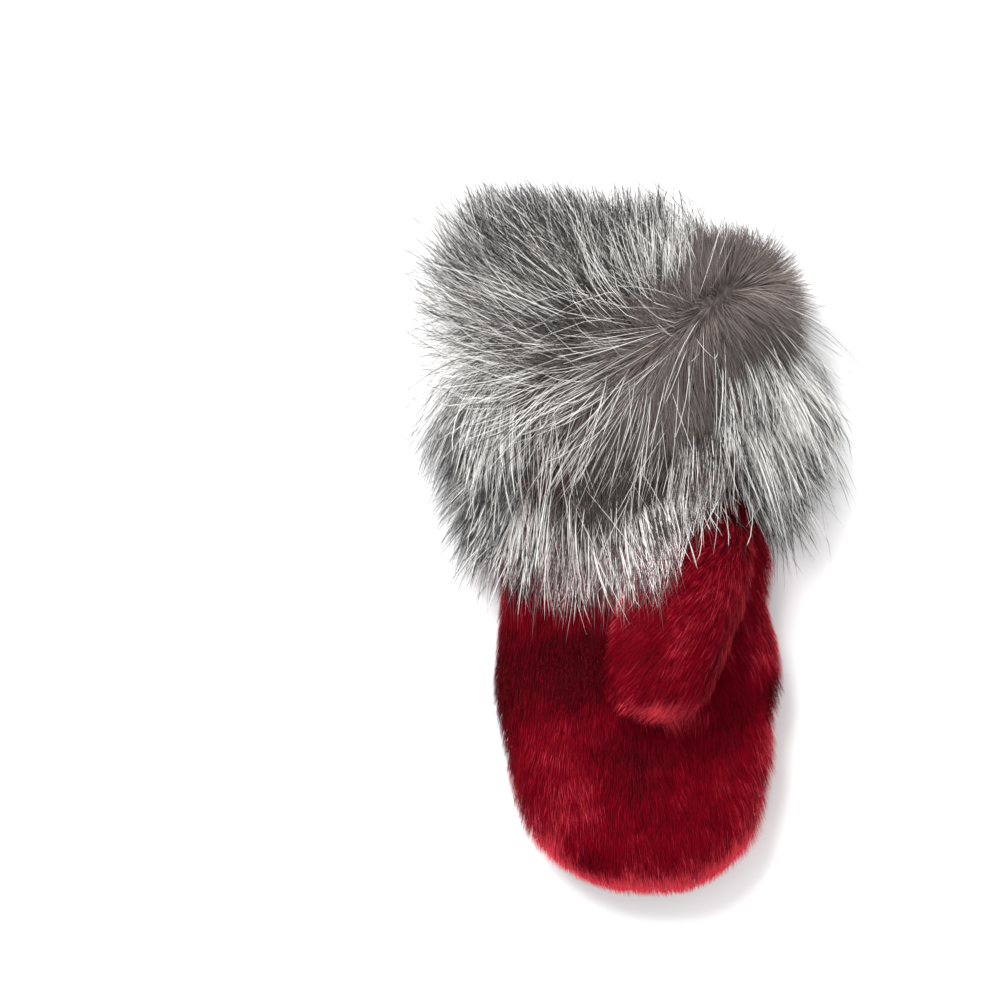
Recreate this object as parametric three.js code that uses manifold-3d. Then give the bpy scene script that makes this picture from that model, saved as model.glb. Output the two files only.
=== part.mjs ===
// A fur mitten for the left hand, lying on its back with the palm and the thumb up.
// Millimetres, +Z up. The fingertips point to -Y and the cuff opens to +Y.
// The origin is on the surface that the mitten lies on, under the middle of the palm.
import * as THREE from "three";
import { mergeVertices } from "three/addons/utils/BufferGeometryUtils.js";
import Module from "manifold-3d";

const wasm = await Module();
wasm.setup();

// Sizes of the red hand. Its walls are pelt with their short pile.
const HAND_LENGTH = 186; // fingertip to wrist edge
const PALM_WIDTH = 120; // at its widest
const HAND_THICKNESS = 43; // surface to the top of the palm
const TIP_TO_ORIGIN = 86; // fingertip to the middle of the palm
const HAND_WALL = 4;
const TIP_ROUNDING = 54; // length over which the outline closes at the fingertips
const TIP_DROP = 24; // length over which the thickness closes there
const REST_DEPTH = 7; // how much of the round underside is pressed flat
const SEAM_GAP = 0.3;

// Sizes of the thumb.
const THUMB_WIDTH = 47;
const THUMB_THICKNESS = 31;
const THUMB_ROUNDING = 20; // length over which its end closes
const THUMB_WALL = 4;
const THUMB_GAP = 0.35; // between the thumb and the palm that it lies on

// Sizes of the fur cuff.
const CUFF_BAND = 66; // length of the pelt band, wrist edge to mouth
const CUFF_OVERLAP = 8; // how far the band reaches over the hand
const CUFF_PELT = 3;
const CUFF_GAP = 0.3; // between the band and the hand inside it
const FUR_DEPTH = 22; // dense fur under the locks
const LOCK_LENGTH = 74;
const LOCK_WIDTH = 25;
const LOCK_THICKNESS = 14;
const LOCK_DROOP = 17; // how far a lock's end sinks under its own weight
const LOCK_CLEARANCE = 1.6;
const MOUTH_FLARE = 9; // how far the fur's inner side opens out past the pelt's edge

const RED_FUR = { color: 0x9c1f2b, roughness: 0.95, metalness: 0 };
const SILVER_FUR = { color: 0xa39c97, roughness: 1, metalness: 0 };

// Cross-sections from the fingertip (station 0) over the wrist edge (1) to the cuff's mouth (2).
// left and right are shares of half the palm's width, under and over shares of the hand's thickness.
const SECTIONS = [
  { station: 0.0, left: 0.8, right: 1.0, under: 0, over: 0.86 },
  { station: 0.14, left: 0.81, right: 0.93, under: 0, over: 0.95 },
  { station: 0.25, left: 0.86, right: 0.91, under: 0, over: 1.0 },
  { station: 0.33, left: 0.92, right: 0.95, under: 0, over: 1.0 },
  { station: 0.41, left: 0.97, right: 0.95, under: 0, over: 0.98 },
  { station: 0.49, left: 1.0, right: 1.0, under: 0, over: 0.98 },
  { station: 0.57, left: 0.98, right: 0.98, under: 0, over: 0.98 },
  { station: 0.665, left: 0.96, right: 0.91, under: 0, over: 0.97 },
  { station: 0.77, left: 0.93, right: 0.93, under: 0.02, over: 0.95 },
  { station: 0.83, left: 0.86, right: 0.87, under: 0.07, over: 0.93 },
  { station: 0.9, left: 0.78, right: 0.77, under: 0.14, over: 0.92 },
  { station: 1.0, left: 0.72, right: 0.7, under: 0.24, over: 0.94 },
  { station: 1.5, left: 0.75, right: 0.75, under: 0.3, over: 1.04 },
  { station: 2.0, left: 0.82, right: 0.82, under: 0.28, over: 1.12 },
];
const OUTLINE_POWER = 2.6; // fullness of a cross-section across
const CROWN_POWER = 2.1; // and in height
const TIP_POWER = 2.15;
const SEAM_HEIGHT = 0.45; // share of a section's height

// Dents and ridges of the palm. across is a share of half the palm's width, along of the hand's length,
// wide and long are the reach on those same scales, and sink is a share of the thickness.
const PALM_FOLDS = [
  { name: "valley below the thumb", across: 0.5, along: 0.3, wide: 0.24, long: 0.16, sink: 0.13 },
  { name: "ridge on the outer side", across: -0.5, along: 0.22, wide: 0.26, long: 0.15, sink: -0.07 },
  { name: "ridge at the fingertips", across: 0.72, along: 0.2, wide: 0.16, long: 0.1, sink: -0.05 },
  { name: "bed of the thumb", across: 0.14, along: 0.5, wide: 0.42, long: 0.16, sink: 0.1 },
  { name: "fold beside the thumb", across: 0.8, along: 0.64, wide: 0.1, long: 0.13, sink: 0.16 },
  { name: "dip on the outer side", across: -0.62, along: 0.5, wide: 0.2, long: 0.08, sink: 0.06 },
];

// Centre line of the thumb from its root inside the hand to its end, on the scales of the palm's folds,
// with height as a share of the thickness, and its section as shares of its own width and thickness.
const THUMB_LINE = [
  { across: 0.5, along: 0.85, height: 0.52, wide: 0.72, deep: 0.8 },
  { across: 0.44, along: 0.765, height: 0.88, wide: 0.92, deep: 0.95 },
  { across: 0.32, along: 0.67, height: 1.16, wide: 1.03, deep: 1.0 },
  { across: 0.23, along: 0.565, height: 1.26, wide: 1.0, deep: 1.0 },
  { across: 0.16, along: 0.475, height: 1.25, wide: 0.88, deep: 0.94 },
  { across: 0.11, along: 0.395, height: 1.18, wide: 0.78, deep: 0.86 },
];
const THUMB_POWER = 2.2;
const THUMB_CROTCH = 0.4; // share of the centre line where the thumb leaves the palm
const CROTCH_START = 0.28; // and where it begins to

// The dense fur under the locks, from over the hand past the mouth, where it swells beyond the pelt's edge.
// band is a share of the band's length and depth a share of the fur's depth.
const FUR_PROFILE = [
  { band: -0.17, depth: 0.06 },
  { band: -0.08, depth: 0.4 },
  { band: 0.08, depth: 0.68 },
  { band: 0.3, depth: 0.9 },
  { band: 0.54, depth: 1.0 },
  { band: 0.76, depth: 1.02 },
  { band: 0.95, depth: 0.96 },
  { band: 1.1, depth: 0.8 },
  { band: 1.2, depth: 0.56 },
  { band: 1.25, depth: 0.3 },
];

// Rows of locks on the cuff's band, from the wrist edge to the mouth. band is the share of its length,
// lay the angle of a lock from straight out, towards the mouth, and length and width are shares.
const LOCK_ROWS = [
  { band: 0.06, lay: -78, length: 1.0, width: 0.92, turn: 0.0 },
  { band: 0.26, lay: -66, length: 1.0, width: 1.0, turn: 0.5 },
  { band: 0.46, lay: -48, length: 0.96, width: 1.0, turn: 0.0 },
  { band: 0.66, lay: -24, length: 0.86, width: 1.0, turn: 0.5 },
  { band: 0.82, lay: 20, length: 0.68, width: 1.0, turn: 0.0 },
  { band: 0.94, lay: 52, length: 0.69, width: 0.95, turn: 0.5 },
];
// Length of the locks round the band: turn is 0 at the right seam, 0.25 on top and 0.5 at the left seam.
const LOCK_LENGTHS = [
  { turn: 0.0, length: 0.76 },
  { turn: 0.12, length: 0.72 },
  { turn: 0.2, length: 0.78 },
  { turn: 0.28, length: 1.0 },
  { turn: 0.38, length: 0.96 },
  { turn: 0.5, length: 0.76 },
  { turn: 0.62, length: 0.4 },
  { turn: 0.75, length: 0.3 },
  { turn: 0.88, length: 0.4 },
  { turn: 1.0, length: 0.76 },
];
const LOCKS_PER_ROW = 17;
const ROOT_DEPTH = 0.5; // share of the dense fur's depth at which a lock begins
const ROOT_LAY = 0.75; // share of its lay that a lock has in its first half
const END_LAY = 1.2; // and in its second half
const ROOT_FULLNESS = 0.8; // share of its half-width that a lock has at its root
const LOCK_SWELL = 0.9; // how fast it widens from there
const LEAST_RISE = -0.3; // how far the fur's outward direction may point down
const UNDERSIDE_LAY = 30; // least angle, from straight out, of a lock that is pressed on the surface
const PRESSED_SHARE = 0.7; // how far underneath the fur is pressed flat and stands in no locks

// Fineness of the faces.
const TIP_ROWS = 7;
const HAND_ROWS = 19;
const PANEL_COLUMNS = 16;
const THUMB_ROWS = 12;
const THUMB_COLUMNS = 16;
const CUFF_ROWS = 11;
const HOLLOW_ROWS = 6;
const LOCK_SIDES = 5;
const LOCK_STEPS = 4;
const MERGE_DISTANCE = 1e-4;

const TIP_Y = -TIP_TO_ORIGIN;
const WRIST_Y = TIP_Y + HAND_LENGTH;
const HALF_PALM = PALM_WIDTH / 2;
const UP = new THREE.Vector3(0, 0, 1);

// Value of one column of a table, on a smooth curve through its rows.
function columnAt(table, key, at, column) {
  const last = table.length - 1;
  let i = 0;
  while (i < last - 1 && table[i + 1][key] < at) i += 1;
  const [a, b] = [table[i], table[i + 1]];
  const before = table[Math.max(i - 1, 0)];
  const after = table[Math.min(i + 2, last)];
  const span = b[key] - a[key];
  const t = THREE.MathUtils.clamp((at - a[key]) / span, 0, 1);
  const slopeA = ((b[column] - before[column]) / (b[key] - before[key])) * span;
  const slopeB = ((after[column] - a[column]) / (after[key] - a[key])) * span;
  const rise = b[column] - a[column];
  return a[column] + t * (slopeA + t * (3 * rise - 2 * slopeA - slopeB + t * (slopeA + slopeB - 2 * rise)));
}

function stationAt(y) {
  return y < WRIST_Y ? (y - TIP_Y) / HAND_LENGTH : 1 + (y - WRIST_Y) / CUFF_BAND;
}

// How far an end has opened to its full size: 0 at the very end, 1 past its rounding.
function roundedEnd(distance, rounding, power) {
  const t = THREE.MathUtils.clamp(distance / rounding, 0, 1);
  return (1 - (1 - t) ** power) ** (1 / power);
}

// Half-widths, seam height and heights of the cross-section at y, inset from the outer surface.
function sectionAt(y, inset) {
  const station = stationAt(y);
  const share = (column) => columnAt(SECTIONS, "station", station, column);
  const fromTip = y - TIP_Y - inset;
  const across = roundedEnd(fromTip, TIP_ROUNDING - inset, TIP_POWER);
  const inHeight = roundedEnd(fromTip, TIP_DROP - inset, 2);
  const under = Math.max(share("under"), 0) * HAND_THICKNESS;
  const over = share("over") * HAND_THICKNESS;
  const seam = under + SEAM_HEIGHT * (over - under);
  const middle = ((share("right") - share("left")) * HALF_PALM) / 2;
  const halfWidth = ((share("right") + share("left")) * HALF_PALM) / 2;
  return {
    middle,
    seam,
    halfWidth: across * (halfWidth - inset),
    rise: inHeight * (over - seam - inset),
    fall: inHeight * (seam - under + REST_DEPTH - inset),
    lowest: Math.max(under + inset, 0),
  };
}

// How far the palm's folds sink its surface at x, y.
function foldSink(x, y) {
  const across = x / HALF_PALM;
  const along = (y - TIP_Y) / HAND_LENGTH;
  const sinks = PALM_FOLDS.map((fold) => {
    const reach = ((across - fold.across) / fold.wide) ** 2 + ((along - fold.along) / fold.long) ** 2;
    return fold.sink * Math.exp(-reach);
  });
  return HAND_THICKNESS * sinks.reduce((sum, sink) => sum + sink, 0);
}

// Point of the mitten's body at y. A full turn runs from the right seam over the top and back underneath.
function bodyPoint(y, turn, inset) {
  const section = sectionAt(y, inset);
  const angle = 2 * Math.PI * turn;
  const [c, s] = [Math.cos(angle), Math.sin(angle)];
  const x = section.middle + section.halfWidth * Math.sign(c) * Math.abs(c) ** (2 / OUTLINE_POWER);
  const crown = Math.abs(s) ** (2 / CROWN_POWER);
  const onTop = section.seam + section.rise * crown - foldSink(x, y) * crown ** 2;
  const below = Math.max(section.seam - section.fall * crown, section.lowest);
  return new THREE.Vector3(x, y, turn <= 0.5 ? onTop : below);
}

// Height of the palm's outer surface at x, y, or of its seam beside the hand.
function palmTop(x, y, inset) {
  const section = sectionAt(y, inset);
  const share = Math.min(Math.abs(x - section.middle) / Math.max(section.halfWidth, 1), 1);
  const crown = (1 - share ** OUTLINE_POWER) ** (1 / CROWN_POWER);
  return section.seam + section.rise * crown - foldSink(x, y) * crown ** 2;
}

// y of a row of the hand, with rows closer together towards the fingertips.
function handRowY(row, inset) {
  const start = TIP_Y + inset;
  const full = TIP_Y + TIP_ROUNDING;
  if (row < TIP_ROWS) return start + (full - start) * (1 - Math.cos((Math.PI / 2) * (row / TIP_ROWS)));
  return THREE.MathUtils.lerp(full, WRIST_Y, (row - TIP_ROWS) / (HAND_ROWS - TIP_ROWS));
}

// Closed geometry from corner points and faces given as rings of three or four corner numbers.
function closedGeometry(points, faces) {
  const geometry = new THREE.BufferGeometry();
  const positions = points.flatMap((p) => [p.x, p.y, p.z]);
  const triangles = faces.flatMap(([a, b, c, d]) => (d === undefined ? [a, b, c] : [a, b, c, a, c, d]));
  geometry.setAttribute("position", new THREE.Float32BufferAttribute(positions, 3));
  geometry.setIndex(triangles);
  const merged = mergeVertices(geometry, MERGE_DISTANCE);
  const index = Array.from(merged.index.array);
  const kept = [];
  for (let i = 0; i < index.length; i += 3) {
    const [a, b, c] = index.slice(i, i + 3);
    if (a !== b && b !== c && c !== a) kept.push(a, b, c);
  }
  merged.setIndex(kept);
  return merged;
}

function toSolid(geometry) {
  return new wasm.Manifold(
    new wasm.Mesh({
      numProp: 3,
      vertProperties: geometry.attributes.position.array,
      triVerts: new Uint32Array(geometry.index.array),
    }),
  );
}

function toMesh(name, solid, look) {
  const { vertProperties, triVerts } = solid.getMesh();
  const geometry = new THREE.BufferGeometry();
  geometry.setAttribute("position", new THREE.BufferAttribute(vertProperties, 3));
  geometry.setIndex(new THREE.BufferAttribute(triVerts, 1));
  geometry.computeVertexNormals();
  const mesh = new THREE.Mesh(geometry, new THREE.MeshStandardMaterial(look));
  mesh.name = name;
  return mesh;
}

// A wall between an outer and an inner grid of rows and columns, closed along all four edges.
function wallBetween(outer, inner, rows, columns) {
  const points = [];
  const faces = [];
  const width = columns + 1;
  for (const surface of [outer, inner]) {
    for (let row = 0; row <= rows; row += 1) {
      for (let column = 0; column <= columns; column += 1) points.push(surface(row, column));
    }
  }
  const out = (row, column) => row * width + column;
  const inn = (row, column) => (rows + 1 + row) * width + column;
  for (let row = 0; row < rows; row += 1) {
    for (let column = 0; column < columns; column += 1) {
      faces.push([out(row, column), out(row + 1, column), out(row + 1, column + 1), out(row, column + 1)]);
      faces.push([inn(row, column), inn(row, column + 1), inn(row + 1, column + 1), inn(row + 1, column)]);
    }
    faces.push([out(row, 0), inn(row, 0), inn(row + 1, 0), out(row + 1, 0)]);
    faces.push([out(row + 1, columns), inn(row + 1, columns), inn(row, columns), out(row, columns)]);
  }
  for (let column = 0; column < columns; column += 1) {
    faces.push([out(0, column + 1), inn(0, column + 1), inn(0, column), out(0, column)]);
    faces.push([out(rows, column), inn(rows, column), inn(rows, column + 1), out(rows, column + 1)]);
  }
  return closedGeometry(points, faces);
}

// A closed body from rings of points, each ring a full turn, with its two ends closed by a fan.
function ringsBody(rings, startPoint, endPoint) {
  const sides = rings[0].length;
  const points = [...rings.flat(), startPoint, endPoint];
  const start = points.length - 2;
  const end = points.length - 1;
  const faces = [];
  const at = (ring, side) => ring * sides + (side % sides);
  for (let side = 0; side < sides; side += 1) {
    faces.push([start, at(0, side), at(0, side + 1)]);
    faces.push([end, at(rings.length - 1, side + 1), at(rings.length - 1, side)]);
    for (let ring = 0; ring < rings.length - 1; ring += 1) {
      faces.push([at(ring, side), at(ring + 1, side), at(ring + 1, side + 1), at(ring, side + 1)]);
    }
  }
  return closedGeometry(points, faces);
}

function centreOf(ring) {
  const sum = ring.reduce((total, point) => total.add(point), new THREE.Vector3());
  return sum.divideScalar(ring.length);
}

// One half of the hand. fromTurn is 0 for the palm and 0.5 for the back.
function handPanel(fromTurn, seamShift) {
  const surface = (inset) => (row, column) => {
    const turn = fromTurn + (0.5 * column) / PANEL_COLUMNS;
    const point = bodyPoint(handRowY(row, inset), fromTurn > 0 ? Math.max(turn, 0.5 + 1e-9) : turn, inset);
    point.z += seamShift;
    if (fromTurn > 0) point.z = Math.max(point.z, 0);
    return point;
  };
  return toSolid(wallBetween(surface(0), surface(HAND_WALL), HAND_ROWS, PANEL_COLUMNS));
}

// The whole closed form of the hand, grown by a gap, to cut its neighbours clear of it.
function handForm(gap) {
  const rings = [];
  for (let row = 1; row <= HAND_ROWS; row += 1) {
    const ring = [];
    for (let column = 0; column < 2 * PANEL_COLUMNS; column += 1) {
      ring.push(bodyPoint(handRowY(row, -gap), column / (2 * PANEL_COLUMNS), -gap));
    }
    rings.push(ring);
  }
  const tip = new THREE.Vector3(0, TIP_Y - gap, sectionAt(TIP_Y, 0).seam);
  tip.x = sectionAt(TIP_Y, 0).middle;
  return toSolid(ringsBody(rings, tip, centreOf(rings[rings.length - 1])));
}

const thumbCurve = new THREE.CatmullRomCurve3(
  THUMB_LINE.map(
    ({ across, along, height }) =>
      new THREE.Vector3(across * HALF_PALM, TIP_Y + along * HAND_LENGTH, height * HAND_THICKNESS),
  ),
);
const thumbLength = thumbCurve.getLength();
const thumbTable = THUMB_LINE.map((row, i) => ({ ...row, share: i / (THUMB_LINE.length - 1) }));

// Centre, side and up directions and half-sizes of the thumb at a share of its centre line.
function thumbSection(share, inset) {
  const centre = thumbCurve.getPointAt(share);
  const tangent = thumbCurve.getTangentAt(share);
  const side = new THREE.Vector3().crossVectors(tangent, UP).normalize();
  const up = new THREE.Vector3().crossVectors(side, tangent);
  const closing = roundedEnd((1 - share) * thumbLength - inset, THUMB_ROUNDING - inset, 2);
  const shape = (column) => columnAt(thumbTable, "share", share, column);
  return {
    centre,
    side,
    up,
    halfWidth: closing * ((shape("wide") * THUMB_WIDTH) / 2 - inset),
    halfDepth: closing * ((shape("deep") * THUMB_THICKNESS) / 2 - inset),
  };
}

// Ring of the thumb's surface. Past the crotch its underside lies on the palm.
function thumbRing(share, inset) {
  const { centre, side, up, halfWidth, halfDepth } = thumbSection(share, inset);
  const ring = [];
  for (let column = 0; column < THUMB_COLUMNS; column += 1) {
    const angle = (2 * Math.PI * column) / THUMB_COLUMNS;
    const [c, s] = [Math.cos(angle), Math.sin(angle)];
    const point = centre
      .clone()
      .addScaledVector(side, halfWidth * Math.sign(c) * Math.abs(c) ** (2 / THUMB_POWER))
      .addScaledVector(up, halfDepth * Math.sign(s) * Math.abs(s) ** (2 / THUMB_POWER));
    const free = THREE.MathUtils.smoothstep(share, CROTCH_START, THUMB_CROTCH);
    const rest = palmTop(point.x, point.y, 0) + THUMB_GAP + inset - (1 - free) * HAND_THICKNESS;
    point.z = Math.max(point.z, rest);
    ring.push(point);
  }
  return ring;
}

function thumbForm(inset) {
  const lastShare = 1 - inset / thumbLength;
  const rings = [];
  for (let row = 0; row < THUMB_ROWS; row += 1) {
    const share = lastShare * Math.sin((Math.PI / 2) * (row / THUMB_ROWS));
    rings.push(thumbRing(share, inset));
  }
  return toSolid(ringsBody(rings, centreOf(rings[0]), centreOf(thumbRing(lastShare, inset))));
}

// Height of the thumb's top at x, y, or nothing beside it.
function thumbTop(x, y, margin) {
  let top = -Infinity;
  for (let share = 0; share <= 1; share += 1 / (2 * THUMB_ROWS)) {
    const { centre, halfWidth, halfDepth } = thumbSection(share, 0);
    const reach = Math.hypot(x - centre.x, y - centre.y) / (halfWidth + margin);
    if (reach < 1) top = Math.max(top, centre.z + (halfDepth + margin) * Math.sqrt(1 - reach ** 2));
  }
  return top;
}

// Moves a point out of the hand, the thumb and the surface below until it is clear by a margin.
function moveClear(point, margin) {
  if (point.y < WRIST_Y && point.y > TIP_Y) {
    const section = sectionAt(point.y, -margin);
    const across = point.x - section.middle;
    const inHeight = point.z - section.seam;
    const half = inHeight > 0 ? section.rise : section.fall;
    const reach =
      (Math.abs(across) / section.halfWidth) ** OUTLINE_POWER + (Math.abs(inHeight) / half) ** CROWN_POWER;
    if (reach < 1) {
      const grow = 1 / Math.max(reach, 1e-6) ** (1 / OUTLINE_POWER);
      point.x = section.middle + across * grow;
      point.z = section.seam + inHeight * grow;
    }
  }
  point.z = Math.max(point.z, thumbTop(point.x, point.y, margin), margin - LOCK_CLEARANCE);
}

// A ring of points round the cuff's band, at a share of its length.
function bandRing(share, inset) {
  const columns = 2 * PANEL_COLUMNS;
  const y = WRIST_Y - CUFF_OVERLAP + share * (CUFF_OVERLAP + CUFF_BAND);
  return Array.from({ length: columns }, (_, column) => bodyPoint(y, column / columns, inset));
}

// Thickness of the dense fur at a share of the band's length.
function furDepth(share) {
  return FUR_DEPTH * columnAt(FUR_PROFILE, "band", share, "depth");
}

// The band of pelt with its dense fur, filled, round the wrist edge of the hand.
function bandForm() {
  const first = FUR_PROFILE[0].band;
  const last = FUR_PROFILE[FUR_PROFILE.length - 1].band;
  const rings = [];
  for (let row = 0; row <= CUFF_ROWS; row += 1) {
    const share = THREE.MathUtils.lerp(first, last, Math.sin((Math.PI / 2) * (row / CUFF_ROWS)));
    rings.push(bandRing(share, -(CUFF_GAP + CUFF_PELT + furDepth(share))));
  }
  return toSolid(ringsBody(rings, centreOf(rings[0]), centreOf(rings[CUFF_ROWS])));
}

// The hollow inside the band, run past the pelt at the wrist and opening out in the fur past the mouth.
function bandHollow() {
  const end = FUR_PROFILE[FUR_PROFILE.length - 1].band;
  const rings = [];
  for (let row = 0; row <= HOLLOW_ROWS; row += 1) rings.push(bandRing(row / HOLLOW_ROWS, -CUFF_GAP));
  rings.push(bandRing(1, -(CUFF_GAP + CUFF_PELT)));
  rings.push(bandRing(end, -(CUFF_GAP + CUFF_PELT + MOUTH_FLARE)));
  const last = rings.length - 1;
  rings[0].forEach((point) => (point.y -= CUFF_PELT));
  rings[last].forEach((point) => (point.y += CUFF_PELT));
  rings[last - 1].forEach((point) => (point.y += CUFF_GAP));
  return toSolid(ringsBody(rings, centreOf(rings[0]), centreOf(rings[last])));
}

// A flat, tapered and pointed lock along a curve. Its broad face looks outward.
function lock(path, width, outward) {
  const rings = [];
  for (let step = 0; step < LOCK_STEPS; step += 1) {
    const ahead = path[step + 1].clone().sub(path[Math.max(step - 1, 0)]).normalize();
    const side = new THREE.Vector3().crossVectors(ahead, outward).normalize();
    const up = new THREE.Vector3().crossVectors(side, ahead);
    const radius = lockRadius(step / LOCK_STEPS, width);
    const ring = [];
    for (let corner = 0; corner < LOCK_SIDES; corner += 1) {
      const angle = (2 * Math.PI * corner) / LOCK_SIDES;
      const offset = side.clone().multiplyScalar(radius * Math.cos(angle));
      offset.addScaledVector(up, (LOCK_THICKNESS / LOCK_WIDTH) * radius * Math.sin(angle));
      const point = path[step].clone().add(offset);
      point.z = Math.max(point.z, 0);
      ring.push(point);
    }
    rings.push(ring);
  }
  return toSolid(ringsBody(rings, path[0], path[LOCK_STEPS]));
}

function lockRadius(share, width) {
  return (width / 2) * (ROOT_FULLNESS + LOCK_SWELL * share - (ROOT_FULLNESS + LOCK_SWELL) * share ** 2);
}

// Direction straight out of the band's surface, held level where the band lies on the surface below.
function outwardAt(y, turn) {
  const step = bodyPoint(y, turn, -FUR_DEPTH).sub(bodyPoint(y, turn, 0));
  return step.set(step.x, 0, Math.max(step.z, LEAST_RISE * FUR_DEPTH)).normalize();
}

// How far a turn round the band looks down: 0 from the seams upwards, 1 at the very bottom.
function undersideShare(turn) {
  return Math.max(0, -Math.sin(2 * Math.PI * turn));
}

// Curve of the lock that grows at a turn round the band, in a row of the table.
function lockPath(row, turn, width) {
  const rootY = WRIST_Y - CUFF_OVERLAP + row.band * (CUFF_OVERLAP + CUFF_BAND);
  const root = bodyPoint(rootY, turn, -(CUFF_GAP + CUFF_PELT + ROOT_DEPTH * furDepth(row.band)));
  const outward = outwardAt(rootY, turn);
  const pressedLay = Math.sign(row.lay) * UNDERSIDE_LAY;
  const lay = THREE.MathUtils.degToRad(THREE.MathUtils.lerp(row.lay, pressedLay, undersideShare(turn)));
  const length = LOCK_LENGTH * row.length * columnAt(LOCK_LENGTHS, "turn", turn, "length");
  const direction = (angle) =>
    outward.clone().multiplyScalar(Math.cos(angle)).add(new THREE.Vector3(0, Math.sin(angle), 0));
  const middle = root.clone().addScaledVector(direction(ROOT_LAY * lay), length / 2);
  const end = middle.clone().addScaledVector(direction(END_LAY * lay), length / 2);
  end.z -= LOCK_DROOP * (length / LOCK_LENGTH);
  const curve = new THREE.QuadraticBezierCurve3(root, middle, end);
  const path = curve.getPoints(LOCK_STEPS);
  path.slice(1).forEach((point, i) => {
    const thickness = (LOCK_THICKNESS / LOCK_WIDTH) * lockRadius((i + 1) / LOCK_STEPS, width);
    moveClear(point, thickness + LOCK_CLEARANCE);
  });
  return path;
}

function furCuff(handCutter) {
  let cuff = bandForm();
  for (const row of LOCK_ROWS) {
    for (let i = 0; i < LOCKS_PER_ROW; i += 1) {
      const turn = ((i + row.turn) / LOCKS_PER_ROW) % 1;
      if (undersideShare(turn) > PRESSED_SHARE) continue;
      const width = LOCK_WIDTH * row.width;
      const path = lockPath(row, turn, width);
      cuff = cuff.add(lock(path, width, outwardAt(path[0].y, turn)));
    }
  }
  return cuff.subtract(bandHollow()).subtract(handCutter);
}

const handCutter = handForm(SEAM_GAP);
const thumbHollow = thumbForm(THUMB_WALL);
const backPanel = handPanel(0.5, -SEAM_GAP / 2);
const palmPanel = handPanel(0, SEAM_GAP / 2).subtract(thumbHollow);
const thumb = thumbForm(0).subtract(thumbHollow).subtract(handCutter);

const mitten = new THREE.Group();
mitten.name = "fur_mitten";
mitten.add(toMesh("back_panel", backPanel, RED_FUR));
mitten.add(toMesh("palm_panel", palmPanel, RED_FUR));
mitten.add(toMesh("thumb", thumb, RED_FUR));
mitten.add(toMesh("fur_cuff", furCuff(handCutter), SILVER_FUR));

export default mitten;
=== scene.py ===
# %% [markdown]
# # A fur mitten in Blender
# The mitten is sewn from two kinds of pelt. The hand and the thumb are short dyed fur, about a centimetre
# of dense hair that lies flat towards the fingertips. The cuff is fox, with fine brown underfur and long
# silver guard hairs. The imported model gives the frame: its solids say where each piece lies. Blender's hair
# curves can't be exported, so each hair here is a narrow ribbon of mesh, and all hairs of a coat are worked
# out together as numpy arrays.

import bmesh
import bpy
import numpy as np
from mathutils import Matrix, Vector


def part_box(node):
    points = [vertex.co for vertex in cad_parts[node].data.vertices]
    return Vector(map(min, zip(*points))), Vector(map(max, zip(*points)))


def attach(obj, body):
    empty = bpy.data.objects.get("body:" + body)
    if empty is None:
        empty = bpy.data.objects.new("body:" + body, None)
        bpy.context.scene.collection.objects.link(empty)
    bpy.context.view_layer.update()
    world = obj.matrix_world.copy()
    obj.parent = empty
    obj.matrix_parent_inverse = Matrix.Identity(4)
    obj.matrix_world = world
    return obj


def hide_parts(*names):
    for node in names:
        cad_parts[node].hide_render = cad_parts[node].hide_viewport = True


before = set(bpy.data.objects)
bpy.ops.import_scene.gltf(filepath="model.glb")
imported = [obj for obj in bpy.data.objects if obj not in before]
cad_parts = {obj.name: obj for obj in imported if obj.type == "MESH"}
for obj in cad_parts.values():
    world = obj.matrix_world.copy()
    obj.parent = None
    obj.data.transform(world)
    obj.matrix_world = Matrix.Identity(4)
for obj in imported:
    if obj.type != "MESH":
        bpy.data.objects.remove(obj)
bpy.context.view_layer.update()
MM = 0.001

# %% [markdown]
# ## Camera
# The photograph looks straight down on the mitten, which lies to the right of and above the picture's
# middle. The camera hangs over the point of the surface that the middle of the picture shows. It hangs far
# up with a long lens, so the tall cuff isn't drawn larger than the hand. One pixel of the picture is 0.42
# mm on the object.

# %% Camera
PIXEL = 0.42 * MM  # real size of one pixel of the 1000 pixel wide photograph
PICTURE_SIDE = 1000
ORIGIN_PIXEL = (637.0, 687.2)  # where the object's origin lies in the picture
CAMERA_HEIGHT = 2.6
FOCUS_HEIGHT = 25 * MM  # height above the floor at which the scale holds

camera_data = bpy.data.cameras.new("camera")
camera = bpy.data.objects.new("camera", camera_data)
bpy.context.collection.objects.link(camera)
camera.location = (
    (PICTURE_SIDE / 2 - ORIGIN_PIXEL[0]) * PIXEL,
    (ORIGIN_PIXEL[1] - PICTURE_SIDE / 2) * PIXEL,
    CAMERA_HEIGHT,
)
camera_data.lens = camera_data.sensor_width * (CAMERA_HEIGHT - FOCUS_HEIGHT) / (PICTURE_SIDE * PIXEL)
bpy.context.scene.camera = camera
print("lens, mm:", round(camera_data.lens, 1))

# %% [markdown]
# ## The form under the fur
# The hand's cross-sections come from one table, with a row for each place along the mitten. Each section is
# a superellipse, pressed flat underneath where the mitten lies. Hermite curves join the rows, so the sides
# bulge and narrow smoothly, and a rounded end closes the fingertips. The same formula serves the skin and
# the roots of the hairs.

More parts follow.
